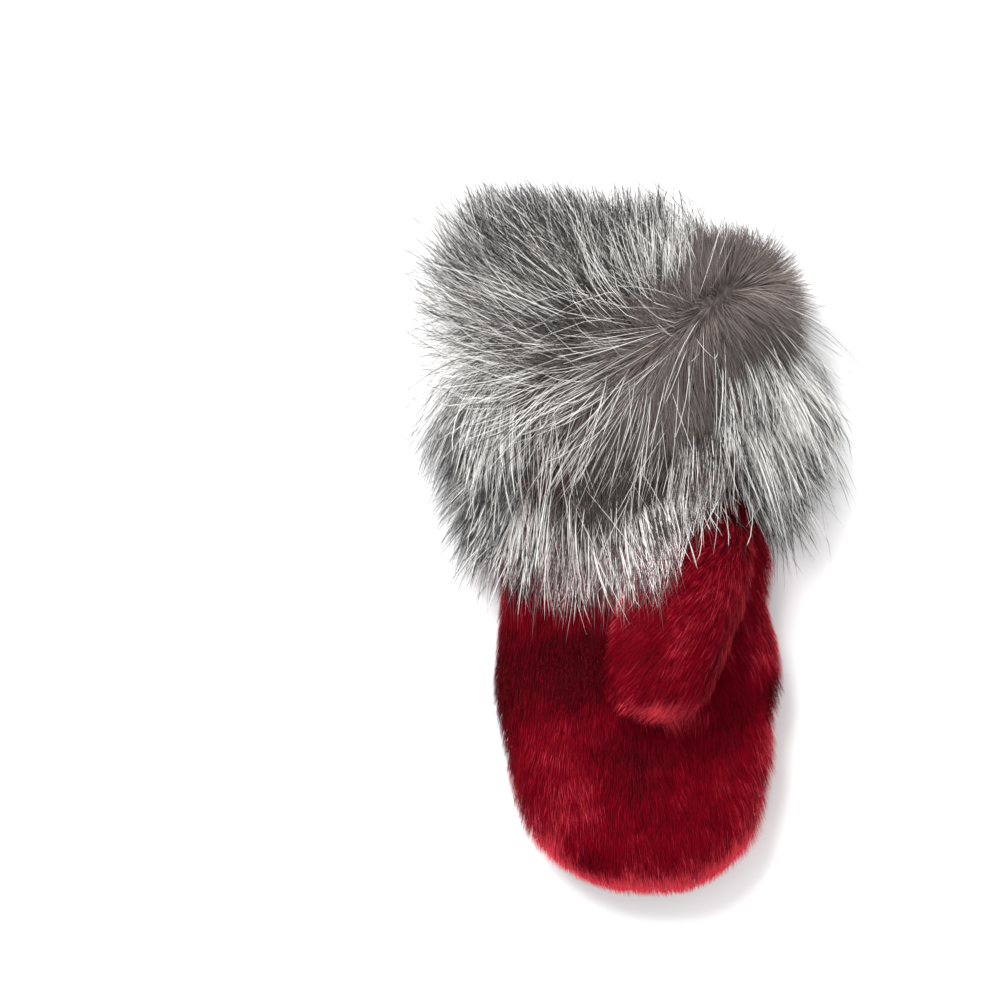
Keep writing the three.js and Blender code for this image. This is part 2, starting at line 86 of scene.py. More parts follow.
# %% Sizes and tables of the form
hand_low, hand_high = (np.array(corner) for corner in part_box("back_panel"))
TIP_Y, WRIST_Y = hand_low[1], hand_high[1]
HAND_LENGTH = WRIST_Y - TIP_Y
HALF_PALM = 60 * MM
HAND_THICKNESS = 43 * MM
TIP_ROUNDING = 54 * MM
TIP_DROP = 24 * MM
REST_DEPTH = 7 * MM
CUFF_BAND = 66 * MM
CUFF_OVERLAP = 8 * MM
BAND_START = WRIST_Y - CUFF_OVERLAP
BAND_LENGTH = CUFF_OVERLAP + CUFF_BAND
OUTLINE_POWER = 2.6
CROWN_POWER = 2.1
TIP_POWER = 2.15
SEAM_HEIGHT = 0.45

SECTIONS = {
    "station": [0.0, 0.14, 0.25, 0.33, 0.41, 0.49, 0.57, 0.665, 0.77, 0.83, 0.9, 1.0, 1.5, 2.0],
    "left": [0.83, 0.85, 0.88, 0.92, 0.97, 1.0, 0.98, 0.96, 0.93, 0.86, 0.78, 0.72, 0.75, 0.82],
    "right": [1.0, 0.93, 0.91, 0.95, 0.95, 1.0, 0.98, 0.91, 0.93, 0.87, 0.77, 0.7, 0.75, 0.82],
    "under": [0, 0, 0, 0, 0, 0, 0, 0, 0.02, 0.07, 0.14, 0.24, 0.3, 0.28],
    "over": [0.86, 0.95, 1.0, 1.0, 0.98, 0.98, 0.98, 0.97, 0.95, 0.93, 0.92, 0.94, 1.04, 1.12],
}
PALM_FOLDS = {
    "across": [0.5, -0.5, 0.72, 0.14, 0.8, -0.62],
    "along": [0.3, 0.22, 0.2, 0.5, 0.64, 0.5],
    "wide": [0.24, 0.26, 0.16, 0.42, 0.1, 0.2],
    "long": [0.16, 0.15, 0.1, 0.16, 0.13, 0.08],
    "sink": [0.13, -0.07, -0.05, 0.1, 0.16, 0.06],
}


# %% [markdown]
# ## From the table to points
# A reader of the table asks for any place along the mitten, so the columns are read through a smooth curve.
# The formulas below take whole arrays of places at once and give whole arrays of points back.

# %% Formulas of the form
def column(table, key, at, name):
    """Value of a column at places between its rows, by a cubic Hermite curve.

    Its slope at a row is a mean of the slopes to the rows before and after, so it has no corner there.
    """
    keys, values = np.array(table[key], float), np.array(table[name], float)
    slopes = np.gradient(values, keys)
    i = np.clip(np.searchsorted(keys, at) - 1, 0, len(keys) - 2)
    span = keys[i + 1] - keys[i]
    t = np.clip((at - keys[i]) / span, 0, 1)
    a, b, slope_a, slope_b = values[i], values[i + 1], slopes[i] * span, slopes[i + 1] * span
    square = 3 * (b - a) - 2 * slope_a - slope_b
    cube = slope_a + slope_b - 2 * (b - a)
    return a + t * (slope_a + t * (square + t * cube))


def rounded_end(distance, rounding, power):
    """1 - (1 - t) ** power, rooted: a quarter of a superellipse that opens from 0 at the very end to 1."""
    t = np.clip(distance / rounding, 0, 1)
    return (1 - (1 - t) ** power) ** (1 / power)


def section(y, inset):
    """Middle, seam height, half-width, rise, fall and lowest height of the section at y.

    The widths and heights come from the table and shrink by the inset. The rounded end closes them at
    the tip.
    """
    station = np.where(y < WRIST_Y, (y - TIP_Y) / HAND_LENGTH, 1 + (y - WRIST_Y) / CUFF_BAND)
    left, right = (column(SECTIONS, "station", station, side) * HALF_PALM for side in ("left", "right"))
    under = np.maximum(column(SECTIONS, "station", station, "under"), 0) * HAND_THICKNESS
    over = column(SECTIONS, "station", station, "over") * HAND_THICKNESS
    seam = under + SEAM_HEIGHT * (over - under)
    across = rounded_end(y - TIP_Y - inset, TIP_ROUNDING - inset, TIP_POWER)
    in_height = rounded_end(y - TIP_Y - inset, TIP_DROP - inset, 2)
    half_width = across * ((left + right) / 2 - inset)
    rise = in_height * (over - seam - inset)
    fall = in_height * (seam - under + REST_DEPTH - inset)
    return (right - left) / 2, seam, half_width, rise, fall, np.maximum(under + inset, 0)


def fold_sink(x, y):
    """How far the palm sinks at x, y: a sum of bell-shaped dents, or ridges where the sink is negative."""
    across, along = x / HALF_PALM, (y - TIP_Y) / HAND_LENGTH
    total = np.zeros_like(across)
    for i, sink in enumerate(PALM_FOLDS["sink"]):
        reach = ((across - PALM_FOLDS["across"][i]) / PALM_FOLDS["wide"][i]) ** 2
        reach = reach + ((along - PALM_FOLDS["along"][i]) / PALM_FOLDS["long"][i]) ** 2
        total = total + sink * np.exp(-reach)
    return total * HAND_THICKNESS


def body_point(y, turn, inset):
    """Point of the hand or of the cuff's band.

    turn runs from the right seam, 0, over the top, 0.25, to the left seam, 0.5, and back underneath,
    0.75. The section is a superellipse: powers of the turn's cosine and sine, times the half-width and
    the rise or fall.
    """
    y, turn = np.broadcast_arrays(np.asarray(y, float), np.asarray(turn, float))
    middle, seam, half_width, rise, fall, lowest = section(y, inset)
    c, s = np.cos(2 * np.pi * turn), np.sin(2 * np.pi * turn)
    x = middle + half_width * np.sign(c) * np.abs(c) ** (2 / OUTLINE_POWER)
    crown = np.abs(s) ** (2 / CROWN_POWER)
    on_top = seam + rise * crown - fold_sink(x, y) * crown**2
    below = np.maximum(seam - fall * crown, lowest)
    return np.stack([x, y, np.where(s >= 0, on_top, below)], axis=-1)


def palm_top(x, y, inset):
    """Height of the palm's surface at x, y: the section's formula turned round to give z from x."""
    middle, seam, half_width, rise, _, _ = section(y, inset)
    share = np.minimum(np.abs(x - middle) / np.maximum(half_width, MM), 1)
    crown = (1 - share**OUTLINE_POWER) ** (1 / CROWN_POWER)
    return seam + rise * crown - fold_sink(x, y) * crown**2


# %% [markdown]
# ## The thumb's form
# The thumb is a flattened tube along a curved centre line. Its root starts inside the hand, it crosses the
# palm's surface, and past the crotch its underside lies on the palm. Its end closes like the fingertips do.

# %% Formulas of the thumb
THUMB_WIDTH = 47 * MM
THUMB_THICKNESS = 31 * MM
THUMB_ROUNDING = 18 * MM
THUMB_POWER = 2.2
THUMB_CROTCH = 0.4  # share of the thumb's length at which it comes free of the palm
THUMB_ROWS = 5
THUMB_LINE = {
    "row": [0, 1, 2, 3, 4, 5],
    "across": [0.5, 0.44, 0.32, 0.23, 0.16, 0.11],
    "along": [0.85, 0.765, 0.67, 0.57, 0.488, 0.412],
    "height": [0.52, 0.88, 1.16, 1.26, 1.25, 1.18],
    "wide": [0.72, 0.92, 1.05, 1.04, 0.97, 0.89],
    "deep": [0.8, 0.95, 1.0, 1.0, 0.94, 0.86],
}


def thumb_line_point(row):
    """Point of the centre line at a row number, whole or between two rows."""
    across, along, height = (column(THUMB_LINE, "row", row, name) for name in ("across", "along", "height"))
    return np.stack([across * HALF_PALM, TIP_Y + along * HAND_LENGTH, height * HAND_THICKNESS], axis=-1)


fine_rows = np.linspace(0, THUMB_ROWS, 401)
steps = np.linalg.norm(np.diff(thumb_line_point(fine_rows), axis=0), axis=1)
fine_shares = np.concatenate([[0], np.cumsum(steps)]) / steps.sum()
THUMB_LENGTH = steps.sum()
print("thumb centre line, mm:", round(THUMB_LENGTH / MM, 1))


def unit(vectors):
    """Each vector over its own length."""
    return vectors / np.maximum(np.linalg.norm(vectors, axis=-1, keepdims=True), 1e-12)


def thumb_frame(share, inset):
    """Centre, side, up and the two half-sizes of the thumb's section at a share of its length.

    The tangent joins two points a nudge before and behind. The side is level and at right angles to it.
    """
    share = np.asarray(share, float)
    nudge = 0.004
    centre = thumb_line_point(np.interp(share, fine_shares, fine_rows))
    ahead = thumb_line_point(np.interp(np.minimum(share + nudge, 1), fine_shares, fine_rows))
    behind = thumb_line_point(np.interp(np.maximum(share - nudge, 0), fine_shares, fine_rows))
    tangent = unit(ahead - behind)
    side = unit(np.cross(tangent, [0, 0, 1]))
    up = np.cross(side, tangent)
    closing = rounded_end((1 - share) * THUMB_LENGTH - inset, THUMB_ROUNDING - inset, 2)
    wide, deep = (column(THUMB_LINE, "row", share * THUMB_ROWS, name) for name in ("wide", "deep"))
    half_width = closing * (wide * THUMB_WIDTH / 2 - inset)
    half_depth = closing * (deep * THUMB_THICKNESS / 2 - inset)
    return centre, side, up, half_width, half_depth


def smoothstep(value, low, high):
    """0 below low, 1 above high, and between them 3 t squared less 2 t cubed."""
    t = np.clip((value - low) / (high - low), 0, 1)
    return t * t * (3 - 2 * t)


def thumb_point(share, turn, inset):
    """Point of the thumb: a superellipse across the centre line.

    Past the crotch, whatever of its round underside would sink into the palm is lifted onto the palm.
    """
    share, turn = np.broadcast_arrays(np.asarray(share, float), np.asarray(turn, float))
    centre, side, up, half_width, half_depth = thumb_frame(share, inset)
    c, s = np.cos(2 * np.pi * turn), np.sin(2 * np.pi * turn)
    along_side = half_width * np.sign(c) * np.abs(c) ** (2 / THUMB_POWER)
    along_up = half_depth * np.sign(s) * np.abs(s) ** (2 / THUMB_POWER)
    point = centre + side * along_side[..., None] + up * along_up[..., None]
    free = smoothstep(share, 0.7 * THUMB_CROTCH, THUMB_CROTCH)
    rest = palm_top(point[..., 0], point[..., 1], 0) + inset - (1 - free) * HAND_THICKNESS
    point[..., 2] = np.maximum(point[..., 2], rest)
    return point


# %% [markdown]
# ## Smooth noise
# Pelt is never even. A sum of a few sine waves in random directions gives a smooth random value for each
# point in space, the same in every run, so tones, lengths and directions can drift gently over the surface.


# %% Smooth noise
WAVES = 12


def smooth_noise(points, size, seed):
    """Sum of sine waves of about the given wavelength, over the root of their number.

    Its values lie mostly between -1 and 1.
    """
    rng = np.random.default_rng(seed)
    waves = unit(rng.normal(size=(WAVES, 3))) * rng.uniform(0.6, 1.6, (WAVES, 1)) * 2 * np.pi / size
    phases = rng.uniform(0, 2 * np.pi, WAVES)
    return np.sin(points @ waves.T + phases).sum(axis=-1) / WAVES**0.5


# %% [markdown]
# ## Meshes from arrays
# A grid of points becomes a surface by joining each point to its neighbours, which numpy does for all faces
# at once by slicing an array of the points' numbers. A wall is two such grids, one inside the other, joined
# along their edges.


# %% A mesh as a piece of the mitten
def link_mesh(name, mesh, nodes, material):
    """Puts a finished mesh into the scene as a piece that stands for some of the model's solids."""
    piece = bpy.data.objects.new(name, mesh)
    bpy.context.collection.objects.link(piece)
    mesh.materials.append(material)
    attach(piece, "root")
    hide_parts(*nodes)
    print(name, "triangles:", sum(len(p.vertices) - 2 for p in mesh.polygons))
    return piece


# %% Wall between two grids
WELD = 1e-6  # points nearer than this are made one, as at the closed fingertips


def quads_of(numbers):
    """Corner numbers of each cell of a grid of point numbers, in the order that faces outwards."""
    corners = (numbers[:-1, :-1], numbers[1:, :-1], numbers[1:, 1:], numbers[:-1, 1:])
    return np.stack(corners, axis=-1).reshape(-1, 4)


def wall(name, outer, inner, closed_round, nodes, material, slot):
    """A closed wall between an outer and an inner grid of rows and columns.

    closed_round joins the last column to the first. Otherwise the two side edges are closed as the ends
    are. In the map the outer side takes the lower half and the inner side the upper half.
    """
    rows, columns = outer.shape[:2]
    out = np.arange(rows * columns).reshape(rows, columns)
    if closed_round:
        out = np.concatenate([out, out[:, :1]], axis=1)
    inn = out + rows * columns
    faces = [quads_of(out), quads_of(inn)[:, ::-1]]
    faces.append(quads_of(np.stack([inn[0], out[0]])))
    faces.append(quads_of(np.stack([out[-1], inn[-1]])))
    if not closed_round:
        faces.append(quads_of(np.stack([inn[:, 0], out[:, 0]], axis=1)))
        faces.append(quads_of(np.stack([out[:, -1], inn[:, -1]], axis=1)))
    mesh = bpy.data.meshes.new(name)
    points = np.concatenate([outer.reshape(-1, 3), inner.reshape(-1, 3)])
    mesh.from_pydata(points.tolist(), [], np.concatenate(faces).tolist())
    across, along = np.meshgrid(np.linspace(0, 1, columns), np.linspace(0, 0.5, rows))
    place = np.stack([across, along], axis=-1).reshape(-1, 2)
    place = np.concatenate([place, place + [0, 0.5]])
    corner_points = np.empty(len(mesh.loops), np.int32)
    mesh.loops.foreach_get("vertex_index", corner_points)
    mesh.uv_layers.new(name="OFBake").data.foreach_set("uv", place[corner_points].ravel().astype(np.float32))
    tidy = bmesh.new()
    tidy.from_mesh(mesh)
    bmesh.ops.remove_doubles(tidy, verts=tidy.verts, dist=WELD)
    tidy.to_mesh(mesh)
    tidy.free()
    mesh.shade_smooth()
    return link_mesh(name, mesh, nodes, material)


# %% [markdown]
# ## Hairs as ribbons
# A hair is a ribbon: a centre line of a few points, a half-width at each and one point at the tip. The map
# of each ribbon holds two facts instead of a place: across is the hair's own tone and up is how far along
# the hair a point lies. A material can then colour every hair from root to tip, and each hair in its own
# tone.


# %% Ribbons
MAP_HALF_WIDTH = 0.0015  # half a ribbon's width in the map, so that no face of the map is empty
MAP_MARGIN = 0.002  # keeps each ribbon whole inside the map


def ribbons(name, paths, half_widths, across, tones, nodes, material):
    """All hairs of a coat as one mesh.

    paths is (hairs, points, 3), half_widths (hairs, points - 1), across (hairs, 3) and tones (hairs).
    Two points of the mesh lie at each point of a path, a half-width to both sides along across, and one
    at its last point.
    """
    hairs, points = paths.shape[:2]
    body = paths[:, :-1]
    reach = across[:, None, :] * half_widths[..., None]
    edges = np.stack([body - reach, body + reach], axis=2).reshape(hairs, -1, 3)
    verts = np.concatenate([edges, paths[:, -1:]], axis=1)
    per_hair = 2 * (points - 1) + 1
    first = np.arange(hairs)[:, None] * per_hair
    quad = np.array([[2 * i, 2 * i + 1, 2 * i + 3, 2 * i + 2] for i in range(points - 2)]).ravel()
    tip = np.array([per_hair - 3, per_hair - 2, per_hair - 1])
    pattern = np.concatenate([quad, tip])
    corners = (first + pattern[None, :]).ravel()
    sizes = np.tile([4] * (points - 2) + [3], hairs)
    mesh = bpy.data.meshes.new(name)
    mesh.vertices.add(hairs * per_hair)
    mesh.vertices.foreach_set("co", verts.astype(np.float32).ravel())
    mesh.loops.add(len(corners))
    mesh.loops.foreach_set("vertex_index", corners.astype(np.int32))
    mesh.polygons.add(len(sizes))
    mesh.polygons.foreach_set("loop_start", np.concatenate([[0], np.cumsum(sizes)[:-1]]).astype(np.int32))
    mesh.polygons.foreach_set("loop_total", sizes.astype(np.int32))
    mesh.update(calc_edges=True)
    along = np.append(np.repeat(np.linspace(0, 1, points)[:-1], 2), 1.0)
    edge = np.append(np.tile([-1.0, 1.0], points - 1), 0.0) * MAP_HALF_WIDTH
    tone = np.clip(tones, MAP_MARGIN, 1 - MAP_MARGIN)
    place = np.stack([tone[:, None] + edge[None, :], np.broadcast_to(along, (hairs, per_hair))], axis=-1)
    place = place[:, pattern].reshape(-1, 2)
    mesh.uv_layers.new(name="OFBake").data.foreach_set("uv", place.astype(np.float32).ravel())
    mesh.shade_smooth()
    return link_mesh(name, mesh, nodes, material)


# %% [markdown]
# ## How hairs grow
# Hairs grow in small clumps, as damp or greasy tips cling together. Clumps are spread evenly over a
# surface: a fine grid of cells is weighed by area and drawn from at random. Each clump has a guide hair,
# and its hairs lean towards the guide more and more from root to tip.


# %% Spreading roots over a surface
SPREAD_CELLS = 160  # cells along each parameter


def spread(surface, low, high, count, rng, weight=None):
    """Random pairs of parameters from low to high, even over the surface's area or over area times a weight.

    The area of a cell is the length of the cross product of its two sides.
    """
    a_edges, b_edges = (np.linspace(low[i], high[i], SPREAD_CELLS + 1) for i in (0, 1))
    grid = surface(a_edges[:, None], b_edges[None, :])
    da, db = grid[1:, :-1] - grid[:-1, :-1], grid[:-1, 1:] - grid[:-1, :-1]
    area = np.linalg.norm(np.cross(da, db), axis=-1)
    if weight is not None:
        a_middles = (a_edges[:-1, None] + a_edges[1:, None]) / 2
        b_middles = (b_edges[None, :-1] + b_edges[None, 1:]) / 2
        area = area * weight(a_middles, b_middles)
    cell = rng.choice(area.size, count, p=area.ravel() / area.sum())
    i, j = np.unravel_index(cell, area.shape)
    a = a_edges[i] + rng.random(count) * (a_edges[1] - a_edges[0])
    b = b_edges[j] + rng.random(count) * (b_edges[1] - b_edges[0])
    return a, b


def surface_frame(surface, a, b, step_a, step_b):
    """Point, outward normal and metres per unit of each parameter, from small steps on the surface."""
    point = surface(a, b)
    da = (surface(a + step_a, b) - surface(a - step_a, b)) / (2 * step_a)
    db = (surface(a, b + step_b) - surface(a, b - step_b)) / (2 * step_b)
    normal = unit(np.cross(da, db))
    return point, normal, np.linalg.norm(da, axis=-1), np.linalg.norm(db, axis=-1)


def jitter(a, b, size_a, size_b, hairs, radius, rng):
    """Parameters of the hairs of each clump, even over a disc of the radius round its middle."""
    angle = rng.uniform(0, 2 * np.pi, (len(a), hairs))
    far = radius * np.sqrt(rng.random((len(a), hairs)))
    return (
        a[:, None] + far * np.cos(angle) / np.maximum(size_a, 1e-6)[:, None],
        b[:, None] + far * np.sin(angle) / np.maximum(size_b, 1e-6)[:, None],
    )


# %% Paths of hairs
CLUMPING_POWER = 1.3  # above 1 the hairs of a clump stay apart longer before they meet


def walk(roots, directions, lengths):
    """Centre lines: equal steps from each root along the directions (hairs, steps, 3)."""
    steps = unit(directions) * (lengths[:, None] / directions.shape[1])[..., None]
    return np.concatenate([roots[:, None], roots[:, None] + np.cumsum(steps, axis=1)], axis=1)


def gather(paths, guides, pull):
    """Draws each hair towards its clump's guide, by a share that grows from root to tip up to pull."""
    share = pull[:, None] * np.linspace(0, 1, paths.shape[1])[None, :] ** CLUMPING_POWER
    return paths + (guides - paths) * share[..., None]


# %% [markdown]
# ## Node groups
# Both coats read the same two facts from the map: tone and place along the hair. One node group turns them
# into the colour of a hair with a base, a band and a tip, so each fur only sets its own colours and where
# they change.


# %% Helpers for nodes
def new_group(name, inputs, outputs):
    """An empty node group with named inputs, each with its kind and value, and named outputs."""
    group = bpy.data.node_groups.new(name, "ShaderNodeTree")
    for title, kind, value in inputs:
        socket = group.interface.new_socket(name=title, in_out="INPUT", socket_type=kind)
        socket.default_value = value
    for title, kind in outputs:
        group.interface.new_socket(name=title, in_out="OUTPUT", socket_type=kind)
    return group, group.nodes.new("NodeGroupInput"), group.nodes.new("NodeGroupOutput")


def feed(tree, sockets, values):
    """Links each socket to the output given for it, or sets it to the plain value given for it."""
    for socket, value in zip(sockets, values):
        if isinstance(value, bpy.types.NodeSocket):
            tree.links.new(value, socket)
        else:
            socket.default_value = value


def math_node(tree, kind, *values):
    """Output of one sum, product or comparison of the values."""
    node = tree.nodes.new("ShaderNodeMath")
    node.operation = kind
    feed(tree, node.inputs, values)
    return node.outputs[0]


# A Mix node has sockets for numbers, vectors and colours. These are the ones that a mix of colours uses.
MIX_SHARE, MIX_A, MIX_B, MIX_RESULT = 0, 6, 7, 2


def mix_colour(tree, share, a, b):
    """Colour a where share is 0, b where it is 1."""
    node = tree.nodes.new("ShaderNodeMix")
    node.data_type = "RGBA"
    feed(tree, (node.inputs[MIX_SHARE], node.inputs[MIX_A], node.inputs[MIX_B]), (share, a, b))
    return node.outputs[MIX_RESULT]


def ramp_between(tree, value, low, high):
    """0 below low, 1 above high, smooth between."""
    node = tree.nodes.new("ShaderNodeMapRange")
    node.interpolation_type = "SMOOTHSTEP"
    feed(tree, node.inputs, (value, low, high))
    return node.outputs[0]


# %% Node group for hair colour
SCATTER_STEP = 37.3  # times the tone, its fraction gives each hair a second value of its own
BAND_SCATTER = 0.16  # how much further along the hair the latest bands start
BAND_BLEND, TIP_BLEND = 0.14, 0.06  # shares of the hair over which one colour turns into the next


def hair_colour_group():
    """Base colour up to one place along the hair, then the band's colour, then on some hairs the tip's.

    The hair's tone mixes the band's colour from dark over middle to light. A second value, scattered
    from the tone, says where the band starts and whether the hair has a tip of another colour.
    """
    colour, number = "NodeSocketColor", "NodeSocketFloat"
    tree, ins, outs = new_group(
        "hair_colour",
        [
            ("Base", colour, (0.05, 0.04, 0.04, 1)),
            ("Band dark", colour, (0.1, 0.1, 0.1, 1)),
            ("Band middle", colour, (0.4, 0.4, 0.4, 1)),
            ("Band light", colour, (0.7, 0.7, 0.7, 1)),
            ("Tip", colour, (0.02, 0.02, 0.02, 1)),
            ("Band start", number, 0.4),
            ("Tip start", number, 0.88),
            ("Tip share", number, 0.5),
        ],
        [("Color", colour)],
    )
    uv = tree.nodes.new("ShaderNodeUVMap")
    uv.uv_map = "OFBake"
    split = tree.nodes.new("ShaderNodeSeparateXYZ")
    tree.links.new(uv.outputs[0], split.inputs[0])
    tone, along = split.outputs[0], split.outputs[1]
    scatter = math_node(tree, "FRACT", math_node(tree, "MULTIPLY", tone, SCATTER_STEP))
    later = math_node(tree, "MULTIPLY", scatter, BAND_SCATTER)
    band_start = math_node(tree, "ADD", ins.outputs["Band start"], later)
    in_band = ramp_between(tree, along, band_start, math_node(tree, "ADD", band_start, BAND_BLEND))
    past_dark, past_middle = ramp_between(tree, tone, 0.0, 0.5), ramp_between(tree, tone, 0.5, 1.0)
    lower = mix_colour(tree, past_dark, ins.outputs["Band dark"], ins.outputs["Band middle"])
    band = mix_colour(tree, past_middle, lower, ins.outputs["Band light"])
    body = mix_colour(tree, in_band, ins.outputs["Base"], band)
    tip_start = ins.outputs["Tip start"]
    past = ramp_between(tree, along, tip_start, math_node(tree, "ADD", tip_start, TIP_BLEND))
    tipped = math_node(tree, "LESS_THAN", scatter, ins.outputs["Tip share"])
    in_tip = math_node(tree, "MULTIPLY", past, tipped)
    tree.links.new(mix_colour(tree, in_tip, body, ins.outputs["Tip"]), outs.inputs["Color"])
    return tree


HAIR_COLOUR = hair_colour_group()


# %% [markdown]
# ## Materials
# Dyed fur shines a little along its lie and fox hair a little more, so each hair's material is a plain
# shader with the node group for its colour. The pelt between the hairs is only glimpsed, and fine streaks
# are enough for it.

# %% Shaders
BED_DETAIL = 5.0
BED_BUMP = 0.5 * MM


def plain_material(name, roughness):
    """A material with one plain shader, its nodes and that shader."""
    material = bpy.data.materials.new(name)
    material.use_nodes = True
    shader = material.node_tree.nodes["Principled BSDF"]
    shader.inputs["Roughness"].default_value = roughness
    return material, material.node_tree, shader


def hair_material(name, roughness, gloss, colours, numbers):
    """A fur's material: the hair colour group with this fur's own colours and places along the hair."""
    material, tree, shader = plain_material(name, roughness)
    shader.inputs["Specular IOR Level"].default_value = gloss
    group = tree.nodes.new("ShaderNodeGroup")
    group.node_tree = HAIR_COLOUR
    for title, value in {**colours, **numbers}.items():
        group.inputs[title].default_value = value
    tree.links.new(group.outputs["Color"], shader.inputs["Base Color"])
    return material


def streaked_material(name, dark, light, scale, stretch, roughness):
    """Fine streaks along the hair's lie, dark and light, from noise in object space drawn out along Y."""
    material, tree, shader = plain_material(name, roughness)
    place = tree.nodes.new("ShaderNodeTexCoord").outputs["Object"]
    mapping = tree.nodes.new("ShaderNodeMapping")
    mapping.inputs["Scale"].default_value = (scale, scale / stretch, scale)
    tree.links.new(place, mapping.inputs["Vector"])
    fine = tree.nodes.new("ShaderNodeTexNoise")
    fine.inputs["Scale"].default_value = 1.0
    fine.inputs["Detail"].default_value = BED_DETAIL
    tree.links.new(mapping.outputs[0], fine.inputs["Vector"])
    share = ramp_between(tree, fine.outputs[0], 0.35, 0.68)
    tree.links.new(mix_colour(tree, share, dark, light), shader.inputs["Base Color"])
    bump = tree.nodes.new("ShaderNodeBump")
    bump.inputs["Strength"].default_value = 0.5
    bump.inputs["Distance"].default_value = BED_BUMP
    tree.links.new(fine.outputs[0], bump.inputs["Height"])
    tree.links.new(bump.outputs[0], shader.inputs["Normal"])
    return material


# %% The pelts and the red hair
red_bed = streaked_material(
    "red_bed",
    dark=(0.04, 0.0005, 0.002, 1),
    light=(0.11, 0.002, 0.006, 1),
    scale=900.0,
    stretch=6.0,
    roughness=0.8,
)
fox_bed = streaked_material(
    "fox_bed",
    dark=(0.06, 0.048, 0.043, 1),
    light=(0.12, 0.097, 0.088, 1),
    scale=700.0,
    stretch=3.0,
    roughness=0.9,
)
red_hair = hair_material(
    "red_hair",
    roughness=0.55,
    gloss=0.02,
    colours={
        "Base": (0.08, 0.0002, 0.0025, 1),
        "Band dark": (0.045, 0.0002, 0.002, 1),
        "Band middle": (0.17, 0.0004, 0.007, 1),
        # The pinkish light band shows mostly where painted sheen and painted rim highlights raise the tone.
        "Band light": (0.76, 0.055, 0.085, 1),
        "Tip": (0.4, 0.008, 0.02, 1),
    },
    numbers={"Band start": 0.15, "Tip start": 0.86, "Tip share": 0.12},
)

# %% The fox hairs
crest_hair = hair_material(
    "crest_hair",
    roughness=0.4,
    gloss=0.3,
    colours={
        "Base": (0.035, 0.028, 0.026, 1),
        "Band dark": (0.03, 0.026, 0.024, 1),
        "Band middle": (0.26, 0.24, 0.225, 1),
        "Band light": (0.8, 0.785, 0.76, 1),
        "Tip": (0.014, 0.013, 0.014, 1),
    },
    numbers={"Band start": 0.24, "Tip start": 0.7, "Tip share": 0.55},
)
fringe_hair = hair_material(
    "fringe_hair",
    roughness=0.4,
    gloss=0.25,
    colours={
        "Base": (0.1, 0.085, 0.08, 1),
        "Band dark": (0.03, 0.022, 0.022, 1),
        "Band middle": (0.27, 0.235, 0.225, 1),
        "Band light": (0.82, 0.78, 0.75, 1),
        # Dark tips, tinted red as a painted reflection of the red fur that they lie on.
        "Tip": (0.14, 0.05, 0.055, 1),
    },
    numbers={"Band start": 0.04, "Tip start": 0.74, "Tip share": 0.5},
)
side_hair = hair_material(
    "side_hair",
    roughness=0.4,
    gloss=0.3,
    colours={
        "Base": (0.035, 0.028, 0.026, 1),
        "Band dark": (0.03, 0.026, 0.025, 1),
        "Band middle": (0.3, 0.285, 0.275, 1),
        "Band light": (0.8, 0.785, 0.76, 1),
        "Tip": (0.012, 0.013, 0.016, 1),
    },
    numbers={"Band start": 0.1, "Tip start": 0.74, "Tip share": 0.6},
)
under_hair = hair_material(
    "under_hair",
    roughness=0.6,
    gloss=0.2,
    colours={
        "Base": (0.12, 0.095, 0.087, 1),
        "Band dark": (0.03, 0.0245, 0.022, 1),
        "Band middle": (0.15, 0.12, 0.111, 1),
        "Band light": (0.29, 0.24, 0.222, 1),
        "Tip": (0.21, 0.172, 0.158, 1),
    },
    numbers={"Band start": 0.2, "Tip start": 0.8, "Tip share": 0.4},
)

# %% [markdown]
# ## Skins
# Under the fur lies the pelt itself. Its outer face carries the hairs and shows dark and red between them,
# and its inner face shows at the mouth of the cuff.

# %% Skins of the hand and the thumb
SKIN_DEPTH = 2.6 * MM  # the skin lies this far under the coat's outer form
PELT = 1.4 * MM
ROWS, COLUMNS = 84, 40
THUMB_ROWS_OF_POINTS = 50
TIP_SHARE_OF_ROWS = 0.4  # this share of the rows lies in the rounded end


def hand_rows(inset):
    """Rows along the hand, closer together at the fingertips, where the form closes fast."""
    t = np.linspace(0, 1, ROWS)
    start = TIP_Y + inset
    bend = 1 - np.cos(np.minimum(t / TIP_SHARE_OF_ROWS, 1) * np.pi / 2)
    full = TIP_Y + TIP_ROUNDING
    past = (WRIST_Y - full) * (t - TIP_SHARE_OF_ROWS) / (1 - TIP_SHARE_OF_ROWS)
    return np.where(t < TIP_SHARE_OF_ROWS, start + (full - start) * bend, full + past)


def panel(name, node, turns):
    """One half of the hand's pelt: the form at two depths, over a range of turns, joined as a wall."""
    grids = []
    for inset in (SKIN_DEPTH, SKIN_DEPTH + PELT):
        grids.append(body_point(hand_rows(inset)[:, None], turns[None, :], inset))
    return wall(name, *grids, False, [node], red_bed, "red_fur")


SEAM_STEP = 1e-9  # keeps the back's edge columns on the lower side of the seam
panel("palm_skin", "palm_panel", np.linspace(0, 0.5, COLUMNS))
panel("back_skin", "back_panel", np.linspace(0.5 + SEAM_STEP, 1 - SEAM_STEP, COLUMNS))

THUMB_START = 0.02
thumb_turns = np.arange(COLUMNS) / COLUMNS
thumb_grids = []
for inset in (SKIN_DEPTH, SKIN_DEPTH + PELT):
    last = 1 - inset / THUMB_LENGTH
    shares = THUMB_START + (last - THUMB_START) * np.sin(np.linspace(0, np.pi / 2, THUMB_ROWS_OF_POINTS))
    thumb_grids.append(thumb_point(shares[:, None], thumb_turns[None, :], inset))
wall("thumb_skin", *thumb_grids, True, ["thumb"], red_bed, "red_fur")

